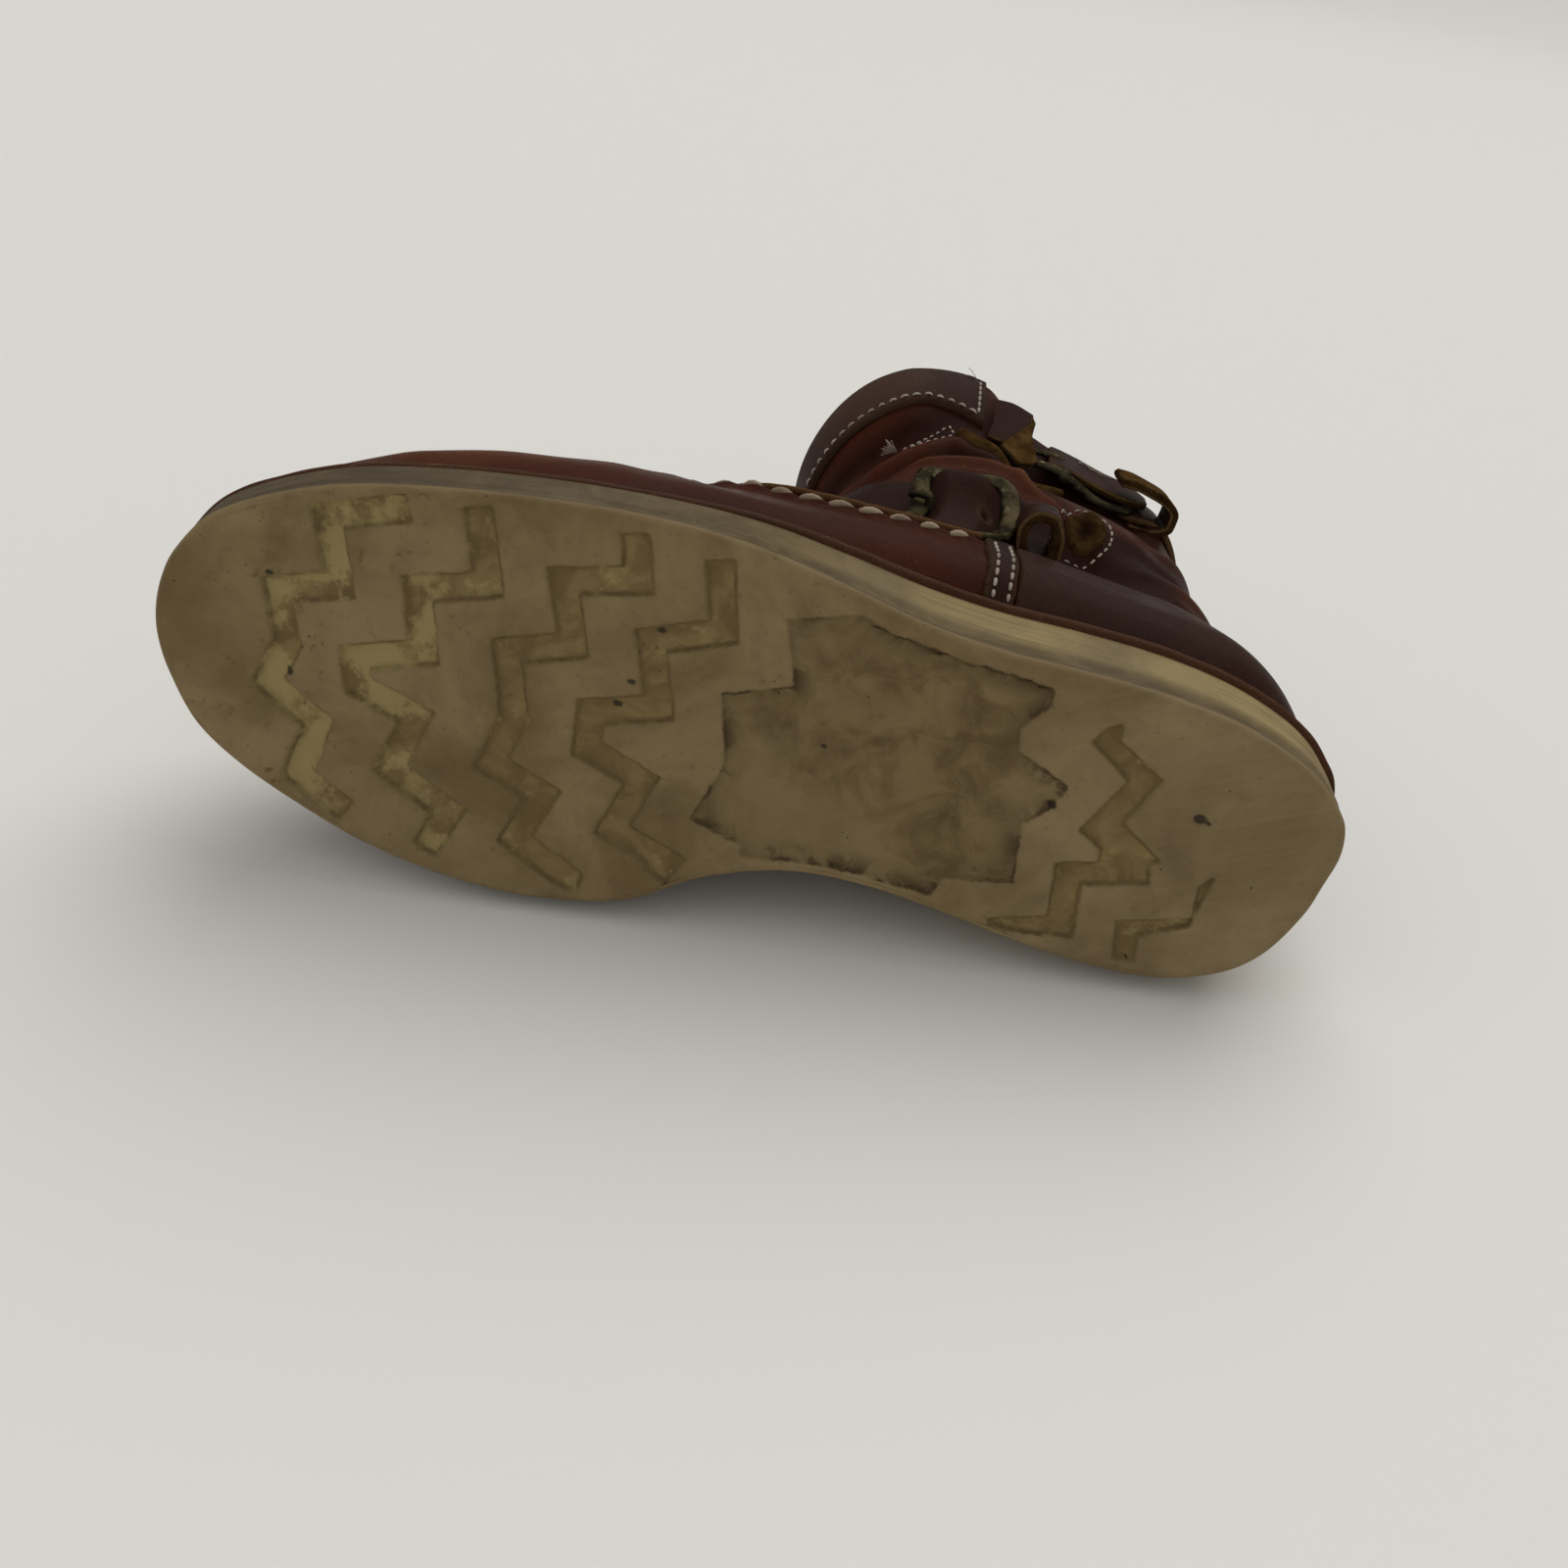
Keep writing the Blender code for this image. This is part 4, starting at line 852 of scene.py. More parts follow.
def oiled_leather(name, deep, mid, bright, edge, rough, scuffs=0.5, coat=0.03):
    """Pull-up leather with painted shade in its folds and a painted highlight on its ridges, rubbed at its
    edges.
    """
    mat, tree, shader = new_look(name)
    place = boot_place(tree)
    grained = use_group(tree, GRAIN, Place=place, Scale=GRAIN_SCALE)
    tone = mark_of(tree, "tone")
    fold = mark_of(tree, "fold")
    cut = mark_of(tree, "edge")
    patches = cloud(tree, place, 26.0, 6.0, 0.6, 0.3)
    shade = maths(tree, "ADD", tone, times(tree, maths(tree, "SUBTRACT", patches, 0.5), 0.75))
    # painted light: the fold shading mark darkens the colour in folds and lightens it on ridges
    shade = maths(tree, "ADD", shade, times(tree, fold, 0.20), clamp=True)
    colour = graded(tree, shade, 0.0, 0.52, deep, mid)
    colour = graded(tree, shade, 0.48, 1.0, colour, bright)
    rubs = use_group(tree, SCUFF, Place=stretched(tree, place, (1.0, 1.0, 2.6), 0.3), Scale=240.0,
                     Amount=scuffs)["Mask"]
    colour = mixed(tree, times(tree, rubs, 0.35), colour, tuple(min(1.0, c * 1.7 + 0.015) for c in bright))
    colour = mixed(tree, times(tree, grained["Pores"], 0.22), colour, tuple(c * 0.35 for c in deep))
    dirty = use_group(tree, DIRT, Place=place, Amount=0.35)
    colour = mixed(tree, times(tree, dirty["Smear"], 0.22), colour, (0.045, 0.035, 0.026))
    rough_edge = times(tree, cut, ranged(tree, cloud(tree, place, 700.0, 3.0, 0.7), 0.3, 0.6, 0.55, 1.0))
    colour = mixed(tree, rough_edge, colour, edge)
    roughness = maths(tree, "ADD", ranged(tree, patches, 0.3, 0.7, rough - 0.07, rough + 0.08),
                      times(tree, rubs, 0.16))
    roughness = maths(tree, "ADD", roughness, times(tree, cut, 0.3), clamp=True)
    set_look(tree, shader, Base_Color=colour, Roughness=roughness, IOR=1.035, Specular_IOR_Level=1.0,
             Coat_Weight=coat, Coat_IOR=1.3, Coat_Roughness=0.24)
    soft = bump(tree, shader, cloud(tree, place, 120.0, 4.0, 0.55), 0.35, 0.0006)
    bump(tree, shader, grained["Height"], 0.5, GRAIN_DEPTH, soft)
    return mat


def nubuck(name, dark, light, burnt):
    """Raw split leather with a short nap."""
    mat, tree, shader = new_look(name)
    place = boot_place(tree)
    nap = cloud(tree, place, 1500.0, 4.0, 0.75)
    clumps = cloud(tree, place, 190.0, 5.0, 0.65, 0.5)
    colour = graded(tree, clumps, 0.32, 0.68, dark, light)
    colour = mixed(tree, ranged(tree, nap, 0.52, 0.75, 0.0, 0.6), colour, tuple(c * 1.3 for c in light))
    # the burnt colour darkens raw edges and, on the suede patch, paints shade
    colour = mixed(tree, times(tree, mark_of(tree, "edge"), 0.6), colour, burnt)
    set_look(tree, shader, Base_Color=colour, Roughness=0.92, IOR=1.05, Specular_IOR_Level=0.3)
    soft = bump(tree, shader, clumps, 0.7, 0.0008)
    bump(tree, shader, nap, 0.8, 0.0003, soft)
    return mat


def worn_rubber(name):
    """Cream sole rubber, taupe on the worn tread and yellow in the hollows and on the side wall."""
    mat, tree, shader = new_look(name)
    place = boot_place(tree)
    wall = mark_of(tree, "wall")
    broad = cloud(tree, place, 22.0, 7.0, 0.62, 0.5)
    blots = cloud(tree, place, 75.0, 6.0, 0.65, 0.8)
    fine = cloud(tree, place, 420.0, 5.0, 0.7)
    shake = times(tree, maths(tree, "SUBTRACT", fine, 0.5), 1.1)
    cut = maths(tree, "ADD", mark_of(tree, "cut"), shake)
    waist = maths(tree, "ADD", mark_of(tree, "waist"), times(tree, shake, 1.6))
    ahead = add_node(tree, "ShaderNodeSeparateXYZ", {"Vector": place}).outputs["X"]
    # worn face of the tread
    pits = ranged(tree, cloud(tree, place, 210.0, 5.0, 0.72), 0.60, 0.72)
    streaks = cloud(tree, stretched(tree, place, (11.0, 95.0, 60.0), 0.42), 2.0, 6.0, 0.7, 1.2)
    rubbed_heel = times(tree, ranged(tree, ahead, 0.115, 0.030, 0.0, 0.6),
                        ranged(tree, streaks, 0.36, 0.72, 0.25, 0.8))
    face = layered(tree, graded(tree, broad, 0.34, 0.66, (0.150, 0.102, 0.045), (0.240, 0.177, 0.090)),
                   (ranged(tree, fine, 0.56, 0.76, 0.0, 0.5), (0.085, 0.056, 0.025)),
                   (times(tree, pits, ranged(tree, ahead, 0.20, 0.27, 0.25, 0.8)), (0.10, 0.060, 0.024)),
                   (rubbed_heel, (0.255, 0.193, 0.112)),
                   (ranged(tree, wall, 0.0, 0.10, 0.0, 0.4), (0.235, 0.172, 0.085)))
    # groove bottoms, palest near the toe
    near_toe = times(tree, ranged(tree, ahead, 0.205, 0.262), 0.13)
    pale = ranged(tree, maths(tree, "ADD", cloud(tree, place, 75.0, 6.0, 0.72), near_toe), 0.54, 0.66)
    low = layered(tree, graded(tree, blots, 0.36, 0.64, (0.150, 0.102, 0.044), (0.232, 0.166, 0.072)),
                  (times(tree, pale, 0.85), (0.315, 0.245, 0.105)))
    # sunk field under the arch, dark along its shore
    shore = times(tree, ranged(tree, waist, 7.0, 0.0), ranged(tree, blots, 0.46, 0.60))
    field = layered(tree, graded(tree, blots, 0.34, 0.64, (0.110, 0.073, 0.032), (0.192, 0.138, 0.064)),
                    (ranged(tree, broad, 0.46, 0.62, 0.0, 0.7), (0.222, 0.163, 0.083)),
                    (times(tree, shore, 0.8), (0.050, 0.032, 0.014)))
    # side wall, cream at the heel and dusty at the toe
    cream = times(tree, ranged(tree, ahead, 0.19, 0.09), ranged(tree, wall, 0.22, 0.55))
    strips = cloud(tree, stretched(tree, place, (12.0, 12.0, 380.0)), 2.0, 5.0, 0.6)
    dusty_toe = times(tree, ranged(tree, ahead, 0.16, 0.25), ranged(tree, broad, 0.30, 0.55, 0.3, 0.9))
    side = layered(tree, graded(tree, blots, 0.34, 0.70, (0.085, 0.057, 0.026), (0.145, 0.104, 0.050)),
                   (times(tree, cream, ranged(tree, broad, 0.36, 0.60, 0.4, 1.0)), (0.300, 0.228, 0.105)),
                   (ranged(tree, strips, 0.50, 0.70, 0.0, 0.42), (0.080, 0.057, 0.030)),
                   (dusty_toe, (0.070, 0.052, 0.030)))
    # all of it joined: painted shade along the groove walls and the field's edge, a dark line at the foot of
    # the side wall, dirt specks and smears, rubs and cuts
    seat = times(tree, line_at(tree, wall, 0.13, 0.05, 0.0), ranged(tree, blots, 0.34, 0.60, 0.1, 0.9))
    # painted shade along the groove walls
    groove_edge_shade = times(tree, line_at(tree, cut, 0.55, 0.75, 0.1), ranged(tree, blots, 0.40, 0.62, 0.05, 1.0))
    # painted shade along the edge of the sunk field
    field_edge_shade = times(tree, line_at(tree, waist, 0.5, 0.7, 0.1), ranged(tree, blots, 0.42, 0.62))
    dirty = use_group(tree, DIRT, Place=place, Amount=0.75)
    turned = stretched(tree, place, (1.0, 4.0, 1.0), 0.42)
    rubs = use_group(tree, SCUFF, Place=turned, Scale=160.0, Amount=0.8)["Mask"]
    colour = layered(tree, face,
                     (ranged(tree, cut, -0.15, 0.45), low),
                     (ranged(tree, waist, -0.3, 0.6), field),
                     (ranged(tree, wall, 0.06, 0.20), side),
                     (times(tree, seat, 0.75), (0.045, 0.030, 0.014)),
                     (times(tree, groove_edge_shade, 0.62), (0.055, 0.036, 0.015)),
                     (times(tree, field_edge_shade, 0.6), (0.050, 0.033, 0.015)),
                     (times(tree, dirty["Smear"], 0.35), (0.065, 0.044, 0.021)),
                     (times(tree, dirty["Specks"], 0.85), (0.028, 0.019, 0.010)),
                     (times(tree, rubs, 0.3), (0.27, 0.205, 0.115)),
                     (ranged(tree, mark_of(tree, "nick"), 0.25, 0.75, 0.0, 0.85), (0.022, 0.018, 0.014)))
    set_look(tree, shader, Base_Color=colour, Roughness=ranged(tree, broad, 0.3, 0.7, 0.58, 0.84), IOR=1.2,
             Specular_IOR_Level=0.5)
    soft = bump(tree, shader, blots, 0.5, 0.0008)
    small = bump(tree, shader, fine, 0.6, 0.0003, soft)
    bump(tree, shader, cloud(tree, place, 1400.0, 4.0, 0.7), 0.4, 0.0002, small)
    return mat


def old_nickel(name):
    """Plated frame gone grey-green, brassy where it is rubbed."""
    mat, tree, shader = new_look(name)
    place = boot_place(tree)
    cloudy = cloud(tree, place, 160.0, 6.0, 0.65, 0.4)
    colour = graded(tree, cloudy, 0.34, 0.66, (0.026, 0.021, 0.012), (0.080, 0.066, 0.038))
    rubs = use_group(tree, SCUFF, Place=place, Scale=420.0, Amount=0.8)["Mask"]
    colour = mixed(tree, rubs, colour, (0.23, 0.185, 0.105))
    pits = ranged(tree, cloud(tree, place, 900.0, 4.0, 0.7), 0.60, 0.70)
    colour = mixed(tree, times(tree, pits, 0.7), colour, (0.06, 0.055, 0.035))
    set_look(tree, shader, Base_Color=colour, Metallic=0.8, Specular_Tint=(0.25, 0.21, 0.15), IOR=1.15,
             Roughness=ranged(tree, cloudy, 0.3, 0.7, 0.34, 0.58))
    bump(tree, shader, cloud(tree, place, 520.0, 5.0, 0.7), 0.2, 0.0001)
    return mat


def waxed_thread(name, dark, light):
    mat, tree, shader = new_look(name)
    place = boot_place(tree)
    twist = add_node(tree, "ShaderNodeTexWave", {"Vector": place, "Scale": 900.0, "Distortion": 2.0},
                     bands_direction="DIAGONAL")
    soil = cloud(tree, place, 90.0, 4.0, 0.6)
    colour = graded(tree, soil, 0.35, 0.65, dark, light)
    colour = mixed(tree, times(tree, twist.outputs["Fac"], 0.25), colour, tuple(c * 0.5 for c in dark))
    set_look(tree, shader, Base_Color=colour, Roughness=0.72)
    bump(tree, shader, twist.outputs["Fac"], 0.5, 0.0002)
    return mat


def fibre_board(name):
    mat, tree, shader = new_look(name)
    place = boot_place(tree)
    cloudy = cloud(tree, place, 60.0, 6.0, 0.65)
    colour = graded(tree, cloudy, 0.35, 0.65, (0.17, 0.10, 0.05), (0.34, 0.225, 0.125))
    set_look(tree, shader, Base_Color=colour, Roughness=0.8)
    bump(tree, shader, cloud(tree, place, 800.0, 4.0, 0.7), 0.4, 0.0003)
    return mat


VAMP = oiled_leather("vamp_leather", (0.020, 0.006, 0.004), (0.064, 0.018, 0.009), (0.150, 0.054, 0.020),
                     (0.105, 0.056, 0.022), 0.38)
DARK = oiled_leather("dark_leather", (0.012, 0.006, 0.005), (0.034, 0.015, 0.011), (0.072, 0.040, 0.028),
                     (0.070, 0.040, 0.020), 0.36)
STRAP = oiled_leather("strap_leather", (0.012, 0.006, 0.005), (0.034, 0.014, 0.010), (0.072, 0.034, 0.022),
                      (0.110, 0.066, 0.026), 0.38)
WELT = oiled_leather("welt_leather", (0.030, 0.013, 0.008), (0.075, 0.034, 0.019), (0.125, 0.068, 0.040),
                     (0.060, 0.038, 0.020), 0.50, scuffs=0.9)
LINING = oiled_leather("lining_leather", (0.055, 0.030, 0.014), (0.115, 0.068, 0.033), (0.19, 0.12, 0.060),
                       (0.19, 0.12, 0.060), 0.70, coat=0.0)
SUEDE = nubuck("raw_suede", (0.034, 0.016, 0.005), (0.105, 0.058, 0.019), (0.011, 0.005, 0.003))
RUBBER = worn_rubber("sole_rubber")
METAL = old_nickel("old_nickel")
THREAD = waxed_thread("cream_thread", (0.30, 0.25, 0.19), (0.50, 0.44, 0.35))
LACE = waxed_thread("seam_lacing", (0.17, 0.115, 0.065), (0.34, 0.26, 0.165))
BOARD = fibre_board("insole_board")


# sole
def polygon_depth(points, corners):
    """Signed distance to a closed outline, positive inside."""
    best = np.full(len(points), 1e9)
    inside = np.zeros(len(points), bool)
    n = len(corners)
    for i in range(n):
        a = corners[i]
        b = corners[(i + 1) % n]
        ab = b - a
        t = np.clip(((points - a) @ ab) / (ab @ ab), 0.0, 1.0)
        best = np.minimum(best, np.linalg.norm(points - a - t[:, None] * ab, axis=1))
        cross = (a[1] > points[:, 1]) != (b[1] > points[:, 1])
        with np.errstate(divide="ignore", invalid="ignore"):
            hit = points[:, 0] < (b[0] - a[0]) * (points[:, 1] - a[1]) / (b[1] - a[1]) + a[0]
        inside ^= cross & hit
    return np.where(inside, best, -best)


def groove_outline(rows, width):
    """Mitred outline round a corner line."""
    p = on_sole(rows)
    d = unit(np.diff(p, axis=0))
    side = np.stack([-d[:, 1], d[:, 0]], axis=1)
    left = []
    right = []
    for i in range(len(p)):
        if i in (0, len(p) - 1):
            m = side[0] if i == 0 else side[-1]
        else:
            m = side[i - 1] + side[i]
            m = m / max(m @ side[i], 0.35)
        left.append(p[i] + m * width / 2)
        right.append(p[i] - m * width / 2)
    return np.array(left + right[::-1])


# run of a groove's side wall in metres, and rows up the sole's side as shares of its height
WALL_RUN = 0.0012
WALL_ROWS = (0.05, 0.10, 0.15, 0.20, 0.25, 0.30, 0.36, 0.42, 0.48, 0.54, 0.60, 0.66, 0.72, 0.78, 0.84,
             0.90, 0.95, 1.0)


def tread_distance(points):
    """Distance to the nearest groove edge and to the waist field's edge, positive inside."""
    spots = np.column_stack([points, np.zeros(len(points))])
    ragged = mottle(spots, 0.006) * 0.00030 + mottle(spots, 0.0022, 5.0) * 0.00016
    groove = np.full(len(points), -1.0)
    for rows in GROOVES:
        groove = np.maximum(groove, polygon_depth(points, groove_outline(rows, GROOVE_WIDTH)))
    for rows in HEEL_GROOVES:
        groove = np.maximum(groove, polygon_depth(points, on_sole(rows)))
    return groove + ragged, polygon_depth(points, on_sole(ARCH)) + ragged


def drawn_to_edges(points, fixed):
    """Moves the points nearest to a groove edge onto it, so that edges come out clean."""
    def nearest(p):
        groove, waist = tread_distance(p)
        return np.maximum(groove, waist)

    e = 0.0001
    d = nearest(points)
    slope = np.column_stack([nearest(points + [e, 0]) - d, nearest(points + [0, e]) - d]) / e
    slope = slope / np.maximum((slope ** 2).sum(axis=1), 0.25)[:, None]
    for target in (0.0, WALL_RUN):
        off = d - target
        move = (np.abs(off) < 0.00036) & ~fixed
        points = points - np.where(move, off, 0.0)[:, None] * slope
    return points


def wall_flare(loop):
    """Share of the heel along the loop, and how far the side wall leans out there."""
    heel_share = smooth([0.0, 0.35 * LENGTH, 0.6 * LENGTH, LENGTH], [1.0, 1.0, 0.0, 0.0], loop[:, 0])
    return heel_share, SOLE_FLARE + HEEL_FLARE * heel_share * (loop[:, 1] > 0)


def build_outsole():
    loop = outline_loop(20)
    n = len(loop)
    half = n // 2
    cols = 151
    inner = shifted(loop, -EDGE_ROUND)
    lat = inner[:half + 1]
    med = inner[(-np.arange(half + 1)) % n]
    share = np.linspace(0.0, 1.0, cols)[None, :, None]
    flat = (lat[:, None] * (1 - share) + med[:, None] * share).reshape(-1, 2)
    fixed = np.zeros((half + 1, cols), bool)
    fixed[:, 0] = True
    fixed[:, -1] = True
    fixed[:12] = True
    fixed[-12:] = True
    flat = drawn_to_edges(flat, fixed.ravel())
    groove, waist = tread_distance(flat)
    spots = np.column_stack([flat, np.zeros(len(flat))])
    depth = np.maximum(GROOVE_DEPTH * ease((groove + 0.0001) / (WALL_RUN + 0.0002)),
                       ARCH_DEPTH * ease((waist + 0.0001) / (WALL_RUN + 0.0004)))
    edge = np.maximum(groove, waist)
    worn = np.where(edge < 0, 0.00022 * np.exp(edge / 0.0009), 0.0)
    crumbs = np.maximum(mottle(spots, 0.0026, 11.0) - 0.25, 0.0) * 0.0011 * ease(edge / 0.001)
    wear = np.abs(mottle(spots, 0.028, 3.0)) * 0.00020 + mottle(spots, 0.005, 9.0) * 0.00006
    nicks = np.zeros(len(flat))
    sunk = np.zeros(len(flat))
    for x, y, radius, deep in NICKS:
        away = np.hypot(flat[:, 0] - x * LENGTH, (flat[:, 1] - y * HALF_BALL) * 1.4)
        dot = np.exp(-(away / radius) ** 4)
        nicks = np.maximum(nicks, dot)
        sunk = np.maximum(sunk, dot * deep)
    z = spring(flat[:, 0]) + depth + worn + wear - crumbs + sunk
    points = [np.column_stack([flat, z])]
    faces = [grid_faces(half + 1, cols, flip=True)]
    marks = {"cut": [np.clip(groove * 1000, -8, 8)], "waist": [np.clip(waist * 1000, -8, 8)],
             "wall": [np.zeros(len(flat))],
             "nick": [nicks]}
    start = len(flat)
    heel_share, flare = wall_flare(loop)
    rows = []
    for angle in (0, 22, 45, 68, 90):
        a = math.radians(angle)
        ring = shifted(loop, -EDGE_ROUND + EDGE_ROUND * math.sin(a))
        rows.append((ring, spring(loop[:, 0]) + EDGE_ROUND * (1 - math.cos(a)), 0.10 * angle / 90))
    low = spring(loop[:, 0]) + EDGE_ROUND
    top = wedge_top(loop[:, 0])
    for h in WALL_ROWS:
        spots = np.column_stack([loop, low + (top - low) * h])
        wavy = mottle(spots * np.array([0.5, 0.5, 4.0]), 0.012, 2.0) * 0.00030
        rib = -0.00055 * math.exp(-((h - 0.20) / 0.045) ** 2) - 0.00035 * math.exp(-((h - 0.62) / 0.035) ** 2)
        ring = shifted(loop, flare * h + wavy * math.sin(math.pi * h) + rib * (0.35 + 0.65 * heel_share))
        rows.append((ring, low + (top - low) * h, 0.12 + 0.88 * h))
    rows.append((shifted(loop, flare - 0.004), wedge_top(loop[:, 0]), 1.0))
    for ring, height, wall in rows:
        points.append(np.column_stack([ring, height]))
        marks["cut"].append(np.full(n, -8.0))
        marks["waist"].append(np.full(n, -8.0))
        marks["nick"].append(np.zeros(n))
        marks["wall"].append(np.full(n, wall))
    faces.append(grid_faces(len(rows), n, start, wrap=True))
    faces.append(loop_lid(n, start + (len(rows) - 1) * n))
    marks = {k: np.concatenate(v) for k, v in marks.items()}
    return make_piece("outsole_worn", np.vstack(points), np.vstack(faces), RUBBER, "rubber", ("outsole",),
                      JOIN_DISTANCE,
                      **marks)


def build_midsole():
    loop = outline_loop(10)
    flare = wall_flare(loop)[1]
    spots = np.column_stack([loop, np.zeros(len(loop))])
    ledge = 0.0013 * ease((0.60 * LENGTH - loop[:, 0]) / (0.16 * LENGTH)) * ease((loop[:, 1] + 0.005) / 0.02)
    wobble = mottle(spots, 0.010, 7.0) * 0.0002 + ledge

    def at(share):
        return lambda x: wedge_top(x) + SEAT_GAP * 0.5 + (MIDSOLE_THICK + SEAT_GAP * 0.5) * share

    rows = [(flare - 0.004, at(0.0)), (flare - 0.0003 + wobble, at(0.0)), (flare + 0.0003 + wobble, at(0.12)),
            (flare + MIDSOLE_LEDGE + wobble, at(0.40)), (flare + MIDSOLE_LEDGE * 0.8 + wobble, at(0.70)),
            (flare + 0.0001 + wobble, at(0.93)), (flare - 0.0006 + wobble, at(1.0)),
            (flare - 0.0075, at(1.0))]
    n = len(loop)
    count = len(rows) * n
    points = np.vstack([np.column_stack([shifted(loop, offset), height(loop[:, 0])]) for offset,
                        height in rows])
    faces = np.vstack([grid_faces(len(rows), n, wrap=True), loop_lid(n, 0), loop_lid(n, count - n)])
    return make_piece("midsole_band", points, faces, WELT, "welt", ("midsole",), JOIN_DISTANCE,
                      tone=np.full(count, 0.45), fold=np.zeros(count), edge=np.zeros(count))


# upper
SEAM_RISE_SHARE = rise_of(SEAM_LEVEL)
# how far the seam climbs over its level: x as share of length, rise share
SEAM_LINE = [(0.30, 0.0), (0.36, 0.0), (0.44, 0.008), (0.52, 0.024), (0.60, 0.039), (0.68, 0.047),
             (0.76, 0.044),
             (0.84, 0.022), (0.92, 0.005)]
LACE_GAP = 0.0008
LACE_PITCH = 0.0082


def seam_rise(turn):
    x = surface(turn, SEAM_RISE_SHARE)[..., 0]
    return SEAM_RISE_SHARE + along_sole(SEAM_LINE, 1, x)


SEAM_TURN = np.radians(np.linspace(-118, 118, 900))
SEAM_TURN = SEAM_TURN[surface(SEAM_TURN, SEAM_RISE_SHARE)[:, 0] > 0.3335 * LENGTH]
seam_path = surface(SEAM_TURN, seam_rise(SEAM_TURN))
SEAM_ALONG = run_along(seam_path)
LACE_COUNT = round(SEAM_ALONG[-1] / LACE_PITCH)


def seam_fade(points):
    """How far the raised seam shows, from the counter to the toe."""
    return ease((points[..., 0] - 0.322 * LENGTH) / (0.02 * LENGTH))


def level_ends(normals):
    """Turns the first and the last row of normals level."""
    for edge in (0, -1):
        side = normals[edge].copy()
        side[:, 2] = 0
        normals[edge] = unit(side)


